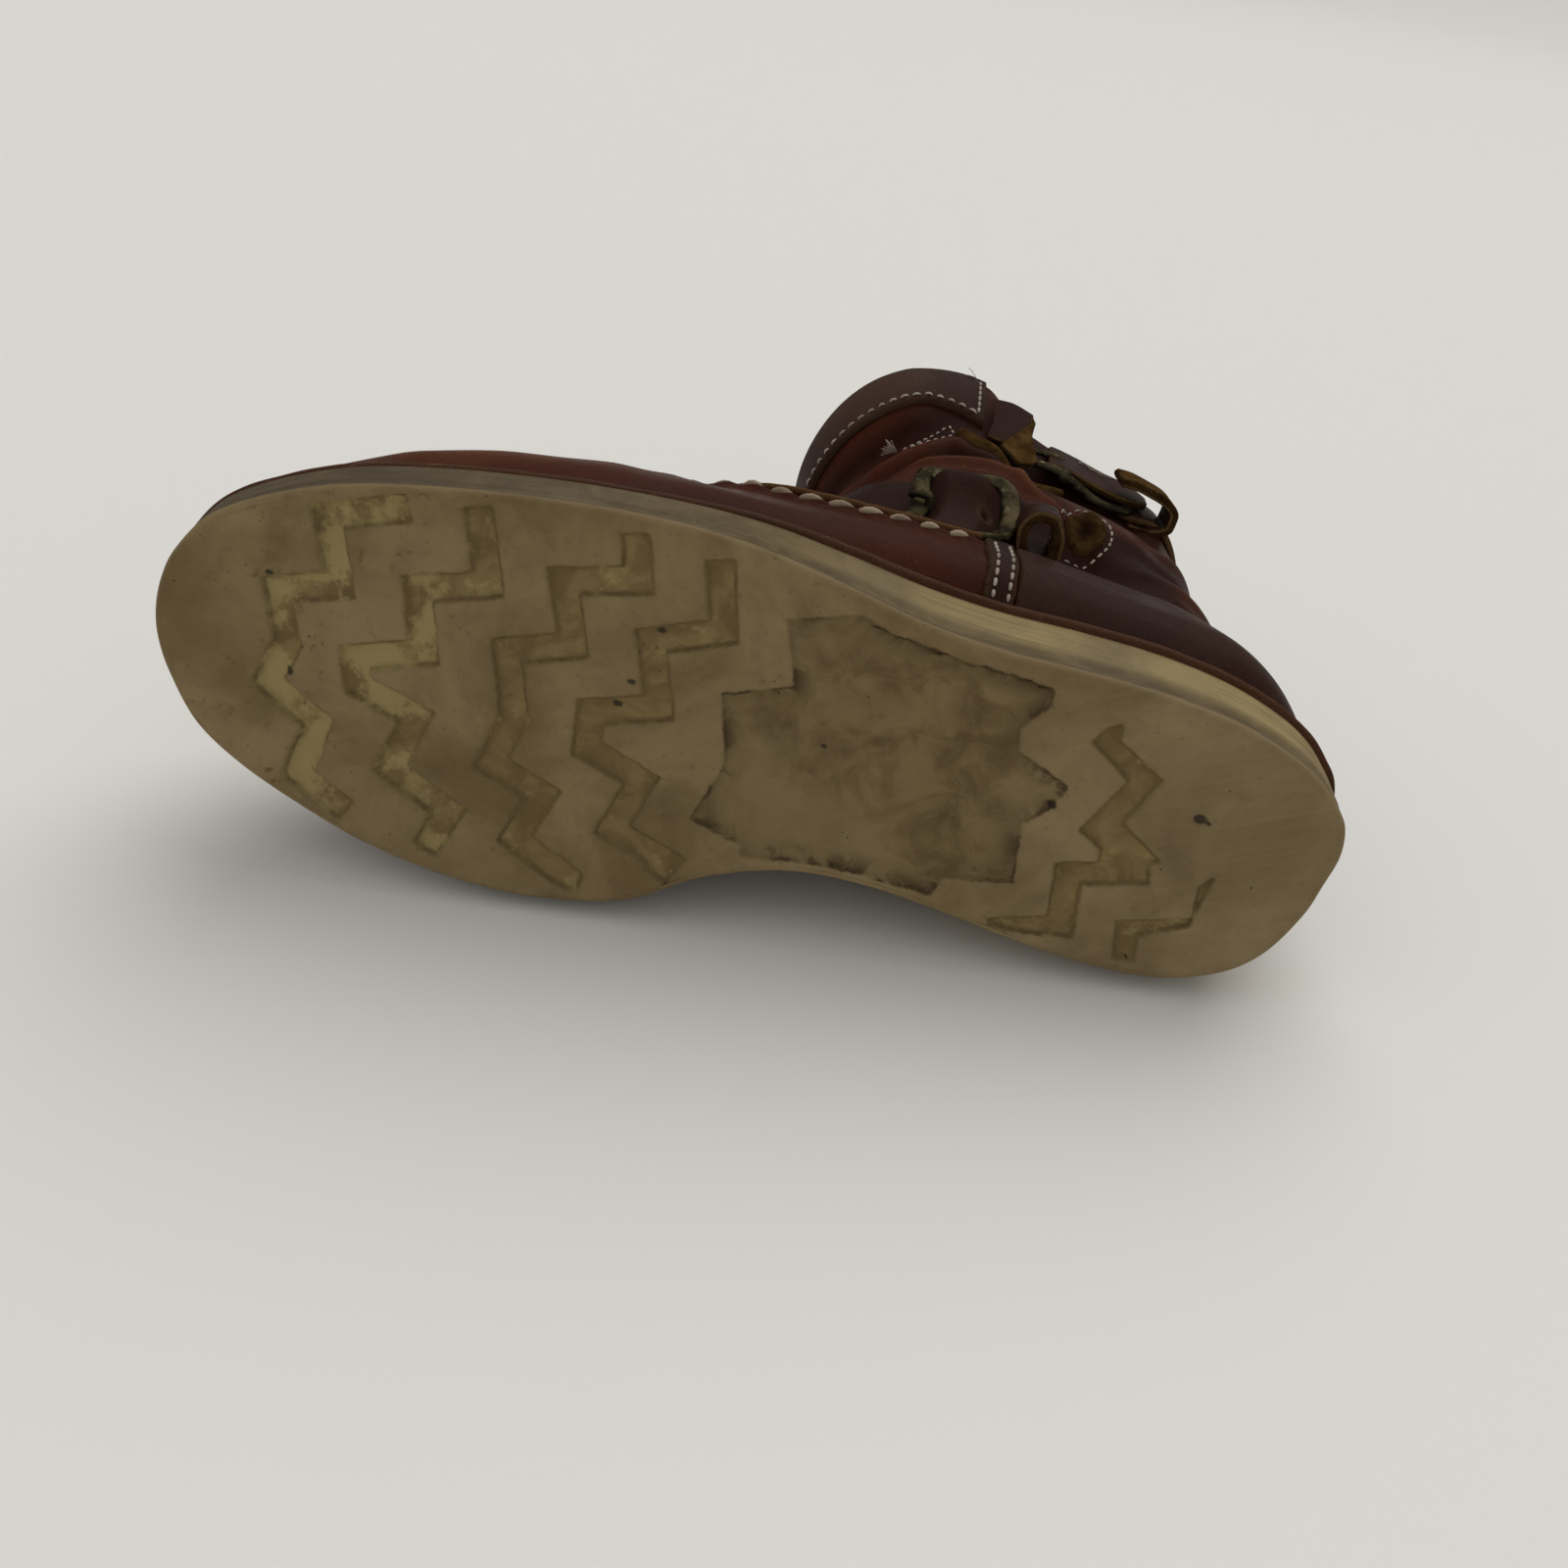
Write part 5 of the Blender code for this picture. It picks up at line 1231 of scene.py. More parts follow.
def build_upper():
    turns = np.linspace(0.0, 2 * math.pi, 361)[:-1]
    near = np.linspace(-0.034, 0.030, 33) + SEAM_RISE_SHARE
    low = np.linspace(0.0, near[0], 22)[:-1]
    high = np.linspace(near[-1], 1.0, 96)[1:]
    rises = np.concatenate([low, near, high])
    tt, rr = np.meshgrid(turns, rises)
    seam_line = seam_rise(tt)
    rr = rr + (seam_line - SEAM_RISE_SHARE) * ease((rr - 0.12) / 0.09) * ease((0.44 - rr) / 0.14)
    p = surface(tt, rr)
    n = surface_normal(tt, rr)
    level_ends(n)
    folds = relief(tt, rr, p)
    fade = seam_fade(p)
    d = (rr - seam_line) * RISE
    wrapped = (tt + math.pi) % (2 * math.pi) - math.pi
    phase = np.interp(wrapped, SEAM_TURN, SEAM_ALONG) / SEAM_ALONG[-1] * LACE_COUNT
    pressed = np.exp(-(((phase % 1.0) - 0.43) / 0.32) ** 2)
    lip = 0.0016 * np.exp(-((d + 0.0019) / 0.0015) ** 2) * (1.05 - 0.85 * pressed)
    slot_line = -0.0011 * np.exp(-((d + 0.0003) / 0.0007) ** 2)
    plug = 0.0006 * np.exp(-((d - 0.0022) / 0.0018) ** 2)
    seam = (lip + slot_line + plug) * fade
    wrinkle = mottle(p * np.array([1.0, 1.0, 1.6]), 0.016, 4.0) * 0.00035
    wrinkle = wrinkle * ease((rr - 0.02) / 0.08)
    outer = p + n * (folds + seam + wrinkle)[..., None]
    tone = 0.30 + 0.10 * mottle(p, 0.045, 1.0) - 0.16 * ease((rr - 0.42) / 0.12)
    vamp_side = ease((seam_line - rr) / 0.02) * ease((p[..., 0] - 0.30 * LENGTH) / 0.02)
    # painted highlight: the tone is raised over the top of the toe
    painted_toe_highlight = ease((p[..., 0] - 0.50 * LENGTH) / 0.07)
    tone = tone + vamp_side * (0.06 + 0.34 * painted_toe_highlight) * ease((rr + 0.05) / 0.2)
    tone = tone + 0.20 * painted_toe_highlight * (1 - vamp_side)
    # painted shade where the upper meets the sole
    tone = tone - 0.12 * ease((0.05 - rr) / 0.05)
    # painted light and shade: lighter on fold ridges, darker in fold troughs and in the slot under the lacing
    fold_mark = (folds + wrinkle) / FOLD_DEPTH - 0.8 * np.exp(-(d / 0.0010) ** 2) * fade
    degrees = np.degrees(tt)
    # painted shade on the lateral back where the ankle leather is drawn in under the strap
    painted_ankle_shade = 0.7 * ease((0.545 - rr) / 0.03) * ease((rr - 0.30) / 0.05)
    painted_ankle_shade = painted_ankle_shade * ease((degrees - 108) / 6) * ease((140 - degrees) / 10)
    fold_mark = fold_mark - painted_ankle_shade
    inner_r = np.linspace(1.0, 0.0, 56)
    ti, ri = np.meshgrid(turns[::3], inner_r)
    plain = surface(ti, ri)
    ni = surface_normal(ti, ri)
    level_ends(ni)
    inner = plain + ni * (relief(ti, ri, plain) - WALL)[..., None]
    nt = len(turns)
    nr = len(rises)
    points = [outer.reshape(-1, 3)]
    faces = [list(f) for f in grid_faces(nr, nt, wrap=True)]
    rim = outer[-1] - n[-1] * WALL * 0.5 + np.array([0, 0, 0.0006])
    points.append(rim)
    rim_start = nr * nt
    top = (nr - 1) * nt
    for i in range(nt):
        j = (i + 1) % nt
        faces.append([top + i, top + j, rim_start + j, rim_start + i])
    inner_start = rim_start + nt
    m = len(turns[::3])
    points.append(inner.reshape(-1, 3))
    for i in range(m):
        j = (i + 1) % m
        a = rim_start + 3 * i
        b = rim_start + (3 * i + 3) % nt
        faces.append([a, a + 1, inner_start + i])
        faces.append([a + 1, a + 2, inner_start + j, inner_start + i])
        faces.append([a + 2, b, inner_start + j])
    faces += [list(f) for f in grid_faces(len(inner_r), m, inner_start, wrap=True)]
    bottom = inner_start + (len(inner_r) - 1) * m
    for i in range(m):
        j = (i + 1) % m
        a = 3 * i
        b = (3 * i + 3) % nt
        faces.append([bottom + i, bottom + j, a + 2, a + 1, a])
        faces.append([bottom + j, b, a + 2])
    rest = nt + inner.shape[0] * inner.shape[1]
    marks = {
        "tone": np.concatenate([tone.ravel(), np.full(rest, 0.4)]),
        "fold": np.concatenate([fold_mark.ravel(), np.zeros(rest)]),
        "edge": np.concatenate([np.zeros(nr * nt), np.full(nt, 0.8), np.zeros(rest - nt)]),
    }
    piece = make_piece("upper_leather", np.vstack(points), faces, VAMP, "leather", ("upper",), 0.0, **marks)
    piece.data.materials.append(LINING)
    for poly in piece.data.polygons:
        if min(poly.vertices) >= inner_start:
            poly.material_index = 1


def edge_spaced(length, count, soft):
    """Places from 0 to 1, close together at both ends."""
    ends = np.array([0.0, 0.12, 0.35, 0.65, 1.0]) * min(soft / length, 0.2)
    middle = np.linspace(ends[-1], 1 - ends[-1], count)[1:-1]
    return np.concatenate([ends, middle, 1 - ends[::-1]])


def laid_patch(name, solid, turn_a, turn_b, rise_lo, rise_hi, sizes, counts, thick, tone, ragged, burnt):
    """Leather laid over the upper between two turns and two rises, its edges rounded."""
    s = edge_spaced(sizes[0], counts[0], EDGE_SOFT)
    t = edge_spaced(sizes[1], counts[1], EDGE_SOFT)
    tt, ss = np.meshgrid(t, s, indexing="ij")
    lo = rise_lo(ss)
    hi = rise_hi(ss)
    rise = lo + (hi - lo) * tt
    turn = turn_a(rise) + (turn_b(rise) - turn_a(rise)) * ss
    p = surface(turn, rise)
    n = surface_normal(turn, rise)
    far = np.minimum(np.minimum(ss, 1 - ss) * sizes[0], np.minimum(tt, 1 - tt) * sizes[1])
    if ragged > 0:
        push = mottle(p, 0.0022, 8.0) * ragged * np.exp(-far / 0.002)
        p = p + np.cross(n, np.array([0.3, 0.2, 0.9])) * push[..., None]
    folds = relief(turn, rise, p)
    lump = mottle(p, 0.012, 6.0) * 0.00016
    lift = OVER_GAP + thick * cap(far / EDGE_SOFT)
    outer = p + n * (folds + lump + lift)[..., None]
    inner = p + n * (folds + OVER_GAP - 0.0004)[..., None]
    points, faces = two_faced(outer, inner)
    edge = burnt * np.exp(-(far / 0.0009) ** 2).ravel()
    shade = (tone + 0.12 * mottle(p, 0.04, 2.0)).ravel()
    # painted light and shade from the fold heights, lighter on ridges and darker in troughs
    fold = np.concatenate([(folds / FOLD_DEPTH).ravel(), np.zeros(edge.size)])
    return make_piece(name, points, faces, DARK, "dark_leather", (solid,), tone=np.tile(shade, 2), fold=fold,
                      edge=np.tile(edge, 2))


def lateral_turn(x):
    return lambda rise: turn_at(x, rise)


def medial_turn(x):
    return lambda rise: 2 * math.pi - turn_at(x, rise)


def level(value):
    return lambda s: np.full_like(s, value)


STRIP_FRONT = 0.330 * LENGTH
STRIP_BACK = STRIP_FRONT - STRIP_WIDTH
COUNTER_FRONT = STRIP_BACK - 0.0003
COUNTER_LOW = 0.020
COUNTER_HIGH = rise_of(COUNTER_TOP)
BAND_LOW = rise_of(SHAFT_HEIGHT - BAND_HEIGHT)
BAND_START = -math.radians(178)
BAND_END = 0.322 * LENGTH
OVER_GAP = 0.00045


def counter_top(s):
    return COUNTER_HIGH + 0.03 * np.sin(math.pi * s) ** 2


def band_low(s):
    return BAND_LOW - 0.05 * np.clip((s - 0.93) / 0.07, 0.0, 1.0)


def build_overlays():
    laid_patch("heel_counter", "counter", lateral_turn(COUNTER_FRONT), medial_turn(COUNTER_FRONT),
               level(COUNTER_LOW), counter_top, (0.240, 0.036), (180, 30), COUNTER_THICK, 0.52, 0.0, 0.35)
    strips = (("side_strip_lateral", "counter_strip_lateral", lateral_turn, STRIP_FRONT, STRIP_BACK),
              ("side_strip_medial", "counter_strip_medial", medial_turn, STRIP_BACK, STRIP_FRONT))
    for name, solid, turn_of, first, second in strips:
        laid_patch(name, solid, turn_of(first), turn_of(second), level(COUNTER_LOW),
                   level(COUNTER_HIGH + 0.012), (STRIP_WIDTH, 0.036), (12, 60), STRIP_THICK, 0.36, 0.0006,
                   0.9)
    laid_patch("top_band", "collar_band", level(BAND_START), lateral_turn(BAND_END), band_low, level(0.994),
               (0.270, BAND_HEIGHT), (200, 22), COUNTER_THICK, 0.42, 0.0, 0.3)


# thread
def stitch_mesh(paths, length, gap, radius, slant=0.0, slack=0.0, flat=0.8):
    """Short rounded stitches along paths of points and normals."""
    sides = 8
    profile = [(0.0, 0.25), (0.10, 0.75), (0.28, 1.0), (0.5, 1.05), (0.72, 1.0), (0.90, 0.75), (1.0, 0.25)]
    points = []
    faces = []
    for path, normals in paths:
        along = run_along(path)

        def on_path(rows, where):
            return np.array([np.interp(where, along, rows[:, a]) for a in range(3)])

        count = int((along[-1] + gap) // (length + gap))
        for k in range(count):
            jitter = slack * math.sin(k * 12.9898 + radius * 1e4)
            centre = k * (length + gap) + length / 2 + jitter
            sizes = length * (1 + 0.12 * math.sin(k * 7.31))
            faces.extend(rod_faces(len(profile), sides, len(points)))
            for share, width in profile:
                where = centre + (share - 0.5) * sizes
                pos = on_path(path, where)
                nor = unit(on_path(normals, where))
                tangent = unit(on_path(path, where + 0.0004) - on_path(path, where - 0.0004))
                across = unit(np.cross(nor, tangent))
                pos = pos + across * slant * (share - 0.5) * length
                pos = pos + nor * (radius * (STITCH_ARCH * math.sin(math.pi * share) - 0.25))
                points.extend(pos + (across * math.cos(a) + nor * math.sin(a) * flat) * radius * width
                              for a in np.arange(sides) * 2 * math.pi / sides)
    return np.array(points), faces


def path_over(turns, rises, steps=200):
    """Path on the leather through rows of turn and rise."""
    t = np.radians(np.asarray(turns, float))
    key = np.linspace(0.0, 1.0, len(t))
    s = np.linspace(0.0, 1.0, steps)
    return skin(np.interp(s, key, t), np.interp(s, key, rises))


def thread_row(name, paths, length, gap, radius=THREAD_RADIUS, material=THREAD, **more):
    points, faces = stitch_mesh(paths, length, gap, radius, **more)
    make_piece(name, points, faces, material, "suede")


def tube(points, radius, sides):
    """Round bar along a path, closed at its ends, radius per point."""
    points = np.asarray(points, float)
    radius = np.broadcast_to(np.asarray(radius, float), (len(points),))
    tangent = unit(np.gradient(points, axis=0))
    guide = np.array([0.31, 0.52, 0.79])
    across = unit(np.cross(tangent, guide))
    other = np.cross(tangent, across)
    angle = np.arange(sides) * 2 * math.pi / sides
    rings = points[:, None] + (across[:, None] * np.cos(angle)[None, :, None]
                               + other[:, None] * np.sin(angle)[None, :, None]) * radius[:, None, None]
    return rings.reshape(-1, 3), rod_faces(len(points), sides)


def joined(parts):
    points = []
    faces = []
    start = 0
    for p, f in parts:
        points.append(p)
        faces.extend([[k + start for k in face] for face in f])
        start += len(p)
    return np.vstack(points), faces


def loose_ends(name, turn, rise, lift, count, length, spread, seed):
    """Frayed fibres that stand off the leather."""
    base, normal = skin(np.radians(turn), rise, lift)
    parts = []
    for k in range(count):
        a = noise.noise(Vector((k * 1.7, seed, 0.3))) * 2
        b = noise.noise(Vector((seed, k * 2.3, 1.3))) * 2
        c = noise.noise(Vector((0.4, seed * 2, k * 1.1))) * 2
        aim = unit(np.array([a, b, c]) * spread + normal * 0.2 + np.array([0.8, 0.1, 0.1]))
        t = np.linspace(0.0, 1.0, 8)[:, None]
        bend = np.array([c, a, b]) * 0.4
        path = base + (aim * t + bend * t * t * 0.5) * length * (0.7 + 0.3 * abs(b))
        parts.append(tube(path, FRAY_RADIUS, 5))
    points, faces = joined(parts)
    make_piece(name, points, faces, THREAD, "suede")


def build_seam():
    """Standing edge of the plug and its thick lacing."""
    turns = SEAM_TURN
    level_line = seam_rise(turns)
    base, normal = skin(turns, level_line + 0.0005 / RISE)
    tangent = unit(np.gradient(base, axis=0))
    upward = unit(np.cross(normal, tangent))
    upward = upward * np.sign(upward[:, 2:3])
    wob = mottle(base, 0.0035, 3.0) * 0.00022
    section = [(0.0002, -0.0006), (0.0000, 0.0010), (0.0003, 0.0021), (0.0010, 0.0024), (0.0017, 0.0020),
               (0.0024, 0.0011), (0.0036, 0.0003), (0.0040, -0.0006)]
    rows = [base + upward * a + normal * (b + wob * (b > 0.0005))[:, None] for a, b in section]
    grid = np.stack(rows, axis=1)
    n, m = grid.shape[:2]
    edge = np.tile([0.0, 0.25, 0.85, 1.0, 0.9, 0.4, 0.0, 0.0], n)
    x = grid[..., 0].ravel()
    # painted highlight: the edge's tone rises towards the toe, as on the upper
    tone = 0.42 + 0.2 * ease((x - 0.5 * LENGTH) / 0.07)
    make_piece("plug_edge", grid.reshape(-1, 3), rod_faces(n, m), VAMP, "leather", tone=tone,
               fold=np.zeros(n * m), edge=edge)
    lower = skin(turns, level_line - 0.0011 / RISE, 0.0004)
    step = np.linalg.norm(np.diff(lower[0], axis=0), axis=1).sum() / (LACE_COUNT + 0.02)
    thread_row("seam_lacing", [lower], step - LACE_GAP, LACE_GAP, LACE_RADIUS, LACE, slant=0.08,
               slack=0.00015, flat=0.75)


def build_stitching():
    shares = np.linspace(0.04, 0.992, 500)
    rise = np.array([float(band_low(np.array(s))) for s in shares]) + 0.0022 / RISE
    turn = BAND_START + (turn_at(BAND_END, rise) - BAND_START) * shares
    thread_row("band_stitches", [skin(turn, rise, OVER_GAP + 0.0020)], STITCH_LENGTH, 0.0014)
    rise = np.linspace(BAND_LOW - 0.02, 0.985, 60)
    band_end = skin(turn_at(BAND_END + 0.0026, rise), rise, OVER_GAP + COUNTER_THICK)
    thread_row("band_end_stitches", [band_end], STITCH_LENGTH, 0.0009)
    strip = []
    for part in (0.26, 0.76):
        rise = np.linspace(COUNTER_LOW + 0.02, COUNTER_HIGH, 60)
        turn = turn_at(STRIP_FRONT - STRIP_WIDTH * part, rise)
        strip.append(skin(turn, rise, OVER_GAP + STRIP_THICK))
        strip.append(skin(2 * math.pi - turn, rise, OVER_GAP + STRIP_THICK))
    thread_row("strip_stitches", strip, STITCH_LENGTH, 0.0012)
    quarter = path_over((109, 112, 115, 118, 123, 128), (0.310, 0.303, 0.297, 0.292, 0.290, 0.290))
    thread_row("quarter_stitches", [quarter], FINE_STITCH_LENGTH, 0.0011, FINE_THREAD_RADIUS)
    dart = [path_over((48.5, 54.2, 59.8, 64.8), (0.728, 0.748, 0.772, 0.797)),
            path_over((51.5, 57.0, 61.5, 66.0), (0.718, 0.733, 0.745, 0.760)),
            path_over((64.8, 66.0), (0.797, 0.760), 40)]
    thread_row("dart_stitches", dart, 0.0017, 0.0010, FINE_THREAD_RADIUS)
    loose_ends("dart_fray", 46.5, 0.730, 0.0003, 30, 0.0048, 0.45, 2.0)
    loose_ends("band_fray", 76.5, 0.985, 0.0024, 4, 0.0045, 0.6, 5.0)


def swept_strap(name, line, s, half_width, lift, thick, material, slot, hides, tip=0.0, tone=0.4, holes=()):
    """Strap along a line with rounded edges and an optional rounded tip."""
    s = np.asarray(s, float)
    left_edge = [(-1.0, 0.30), (-0.985, 0.72), (-0.94, 0.95)]
    right_edge = [(-w, h) for w, h in left_edge[::-1]]
    upper_side = [(w, 1.0) for w in np.linspace(-0.86, 0.86, 25)]
    lower_side = [(w, 0.0) for w in np.linspace(0.97, -0.97, 11)]
    ring = np.array(left_edge + upper_side + right_edge + lower_side)
    ss, kk = np.meshgrid(s, np.arange(len(ring)), indexing="ij")
    half = np.full_like(ss, half_width)
    thin = np.ones_like(ss)
    if tip > 0:
        d = np.clip((s[-1] - ss) / tip, 0.0, 1.0)
        half = half_width * (0.30 + 0.70 * cap(d))
        thin = 0.45 + 0.55 * cap(np.clip((s[-1] - ss) / 0.0012, 0.0, 1.0))
    w = ring[kk, 0] * half
    h = ring[kk, 1]
    sag = 0.00025 * np.sin(ss * 190.0) * np.sin(ring[kk, 0] * 2.1)
    off = lift(ss) + h * thick * thin + sag * h
    for hole in holes:
        off = off - 0.0021 * np.exp(-((ss - hole) ** 2 + w ** 2) / 0.0013 ** 2) * (h > 0.9)
    p = line.place(ss, w, off)
    p = p + unit(p - p.mean(axis=1, keepdims=True)) * (mottle(p, 0.008, 2.0) * 0.00015)[..., None]
    edge = np.clip(1.3 - (1.0 - np.abs(ring[kk, 0])) * half / 0.0005, 0.0, 1.0) * 0.85
    low = (ring[kk, 1] < 0.2) & (np.abs(ring[kk, 0]) < 0.98)
    edge = np.where(low, 1.0, edge)
    # painted shade: each strap hole darkens the leather colour through its fold shading mark
    painted_hole_shade = np.zeros_like(ss)
    for hole in holes:
        away = np.hypot(ss - hole, w) / 0.0020
        painted_hole_shade = painted_hole_shade - 1.6 * np.exp(-away ** 2)
        edge = np.maximum(edge, 0.6 * np.exp(-((away - 1.0) / 0.5) ** 2) * (ring[kk, 1] > 0.9))
    shade = tone + 0.14 * mottle(p, 0.02, 4.0)
    make_piece(name, p.reshape(-1, 3), rod_faces(*p.shape[:2]), material, slot, hides, tone=shade, fold=painted_hole_shade,
               edge=edge)


def frame_bar(line, loop_s, loop_w, width, thick, lift, sides=14):
    """Closed bar of the buckle frame through places on the strap."""
    n = len(loop_s)
    s = np.asarray(loop_s, float)
    w = np.asarray(loop_w, float)
    ds = np.roll(s, -1) - np.roll(s, 1)
    dw = np.roll(w, -1) - np.roll(w, 1)
    size = np.hypot(ds, dw)
    out_s = -dw / size
    out_w = ds / size
    angle = np.arange(sides) * 2 * math.pi / sides
    ca = np.sign(np.cos(angle)) * np.abs(np.cos(angle)) ** 0.7
    sa = np.sign(np.sin(angle)) * np.abs(np.sin(angle)) ** 0.7
    width = np.broadcast_to(np.asarray(width, float), (n,))
    gs = s[:, None] + out_s[:, None] * ca[None] * width[:, None] / 2
    gw = w[:, None] + out_w[:, None] * ca[None] * width[:, None] / 2
    off = lift(s)[:, None] + thick / 2 + sa[None] * thick / 2
    faces = grid_faces(n + 1, sides, wrap=True) % (n * sides)
    return line.place(gs, gw, off).reshape(-1, 3), faces


def rounded_frame(length, width, bar, side, corner, steps=7, straight=9):
    """Places and bar widths round a frame with round corners, on the bars' middle line."""
    a = length / 2 - bar / 2
    b = width / 2 - side / 2
    rows = []
    corners = [(a, b, 0), (-a, b, 90), (-a, -b, 180), (a, -b, 270)]
    for cx, cy, first in corners:
        ox = cx - math.copysign(corner, cx)
        oy = cy - math.copysign(corner, cy)
        for k in range(steps):
            t = math.radians(first + 90 * k / (steps - 1))
            px = ox + corner * math.cos(t)
            py = oy + corner * math.sin(t)
            mix = abs(math.cos(t)) ** 1.5
            rows.append((px, py, side + (bar - side) * mix))
    dense = []
    n = len(rows)
    for i in range(n):
        p = rows[i]
        q = rows[(i + 1) % n]
        gap = math.hypot(q[0] - p[0], q[1] - p[1])
        count = straight if gap > corner else 1
        for k in range(count):
            t = k / count
            dense.append(tuple(p[c] * (1 - t) + q[c] * t for c in range(3)))
    return np.array(dense)


def metal_piece(name, parts, solid):
    points, faces = joined(parts)
    make_piece(name, points, faces, METAL, "metal", (solid,))


def table_lift(rows, length, gap=0.0003):
    return lambda s: smooth(column(rows, 0) * length, column(rows, 1), s) + gap


def curve_through(spots, stations):
    """Even stations along a smooth curve through spots given in millimetres."""
    spots = np.asarray(spots, float) / 1000
    along = run_along(spots)
    s = np.linspace(0.0, along[-1], stations)
    return np.stack([smooth(along, spots[:, k], s) for k in range(3)], axis=-1)


def hanging_leather(name, first, second, thick, outward, slot, hides, stations, across, tone, flesh_out=False,
                    rounded=0.0):
    """Leather strip between two edge curves: a smooth face, a raw flesh face and raw edges."""
    a = curve_through(first, stations)
    b = curve_through(second, stations)
    length = np.linalg.norm(np.diff((a + b) / 2, axis=0), axis=1).sum()
    width = np.linalg.norm(a - b, axis=1).mean()
    share = edge_spaced(width, across, 0.0008)
    sheet = a[:, None] * (1 - share)[None, :, None] + b[:, None] * share[None, :, None]
    if rounded > 0:
        left = np.linspace(length, 0.0, stations)[:, None]
        narrow = 0.35 + 0.65 * cap(left / rounded)
        middle = (a + b)[:, None] / 2
        sheet = middle + (sheet - middle) * narrow[..., None]
    n = unit(np.cross(np.gradient(sheet, axis=0), np.gradient(sheet, axis=1)))
    n = n * np.sign((n[:8] * np.asarray(outward, float)).sum(-1).mean())
    far = np.minimum(np.minimum(share, 1 - share)[None, :] * width,
                     np.minimum(np.linspace(0, 1, stations), np.linspace(1, 0, stations))[:, None] * length)
    body = 0.35 + 0.65 * cap(far / 0.0008)
    sheet = sheet + n * (mottle(sheet, 0.007, 3.0) * 0.0002)[..., None]
    outer = sheet + n * (thick / 2 * body)[..., None]
    inner = sheet - n * (thick / 2 * body)[..., None]
    points, faces = two_faced(outer, inner)
    count = outer.shape[0] * outer.shape[1]
    edge = np.clip(1.2 - far / 0.0006, 0.0, 1.0).ravel()
    shade = (tone + 0.12 * mottle(sheet, 0.02, 2.0)).ravel()
    piece = make_piece(name, points, faces, STRAP, slot, hides, tone=np.tile(shade, 2),
                       fold=np.zeros(2 * count), edge=np.tile(edge, 2))
    piece.data.materials.append(SUEDE)
    for poly in piece.data.polygons:
        on_outer = max(poly.vertices) < count
        on_inner = min(poly.vertices) >= count
        raw_face = on_outer if flesh_out else on_inner
        poly.material_index = int(raw_face or not (on_outer or on_inner))


def build_instep_set():
    line = StrapLine(INSTEP_LINE, INSTEP_BUCKLE_TURN)
    half = FRAME_LENGTH / 2
    lift = table_lift(INSTEP_LIFT, FRAME_LENGTH, OVER_GAP)
    s = np.concatenate([np.linspace(line.along[0] + 0.002, -half, 130)[:-1],
                        np.linspace(-half, half + 0.006, 80)[:-1],
                        np.linspace(half + 0.006, half + 0.0105, 12)])
    swept_strap("instep_strap_leather", line, s, STRAP_WIDTH / 2, lift, STRAP_THICK, DARK, "dark_leather",
                ("instep_strap",), 0.010, 0.42, (0.0058,))
    s = np.linspace(-0.006, half + 0.0085, 50)
    swept_strap("instep_chape_leather", line, s, STRAP_WIDTH / 2 - 0.002, level(OVER_GAP), CHAPE_THICK, DARK,
                "dark_leather", ("instep_chape",))
    stiff = FittedLine(line, FRAME_LENGTH, FRAME_WIDTH, table_lift(FRAME_LIFT, FRAME_LENGTH))
    rows = rounded_frame(FRAME_LENGTH, FRAME_WIDTH, FRAME_END, FRAME_SIDE, 0.0048)
    loop = frame_bar(stiff, rows[:, 0], rows[:, 1], rows[:, 2], FRAME_THICK, np.zeros_like)
    reach = FRAME_WIDTH / 2 - FRAME_SIDE * 0.6
    middle = stiff.place(np.zeros(15), np.linspace(-reach, reach, 15), np.full(15, FRAME_THICK / 2))
    metal_piece("instep_buckle_frame", [loop, tube(middle, CENTRE_BAR_RADIUS, 10)], "instep_buckle")
    ps = np.array([-half - 0.0012, -half + 0.0010, -half + 0.0045, -0.0108, -0.0098])
    off = np.array([0.0068, 0.0080, 0.0078, 0.0062, 0.0030])
    fine = np.linspace(0, 4, 30)
    path = line.place(np.interp(fine, range(5), ps), np.full(30, 0.001), smooth(range(5), off, fine))
    radius = np.interp(fine, [0, 0.4, 2, 4], [0.0009, 0.0014, 0.0014, 0.0014])
    metal_piece("instep_prong_pin", [tube(path, radius, 10)], "instep_prong")
    near = [(x, y, 78.5) for x, y in KEEPER_ARCH]
    far = [(x - 0.4, y + 0.6, 88.5) for x, y in KEEPER_ARCH]
    hanging_leather("instep_keeper_loop", near, far, KEEPER_THICK, (0, 1, 0), "suede", ("instep_keeper",),
                    80, 15, 0.35, flesh_out=True)


# slack suede keeper of the instep strap, seen along it, in millimetres over the boot
KEEPER_ARCH = [(86.3, 46.4), (88.2, 50.6), (88.7, 54.3), (87.3, 57.6), (84.9, 59.3), (81.7, 59.2),
               (79.2, 56.6), (77.8, 52.2),
               (77.6, 46.4)]
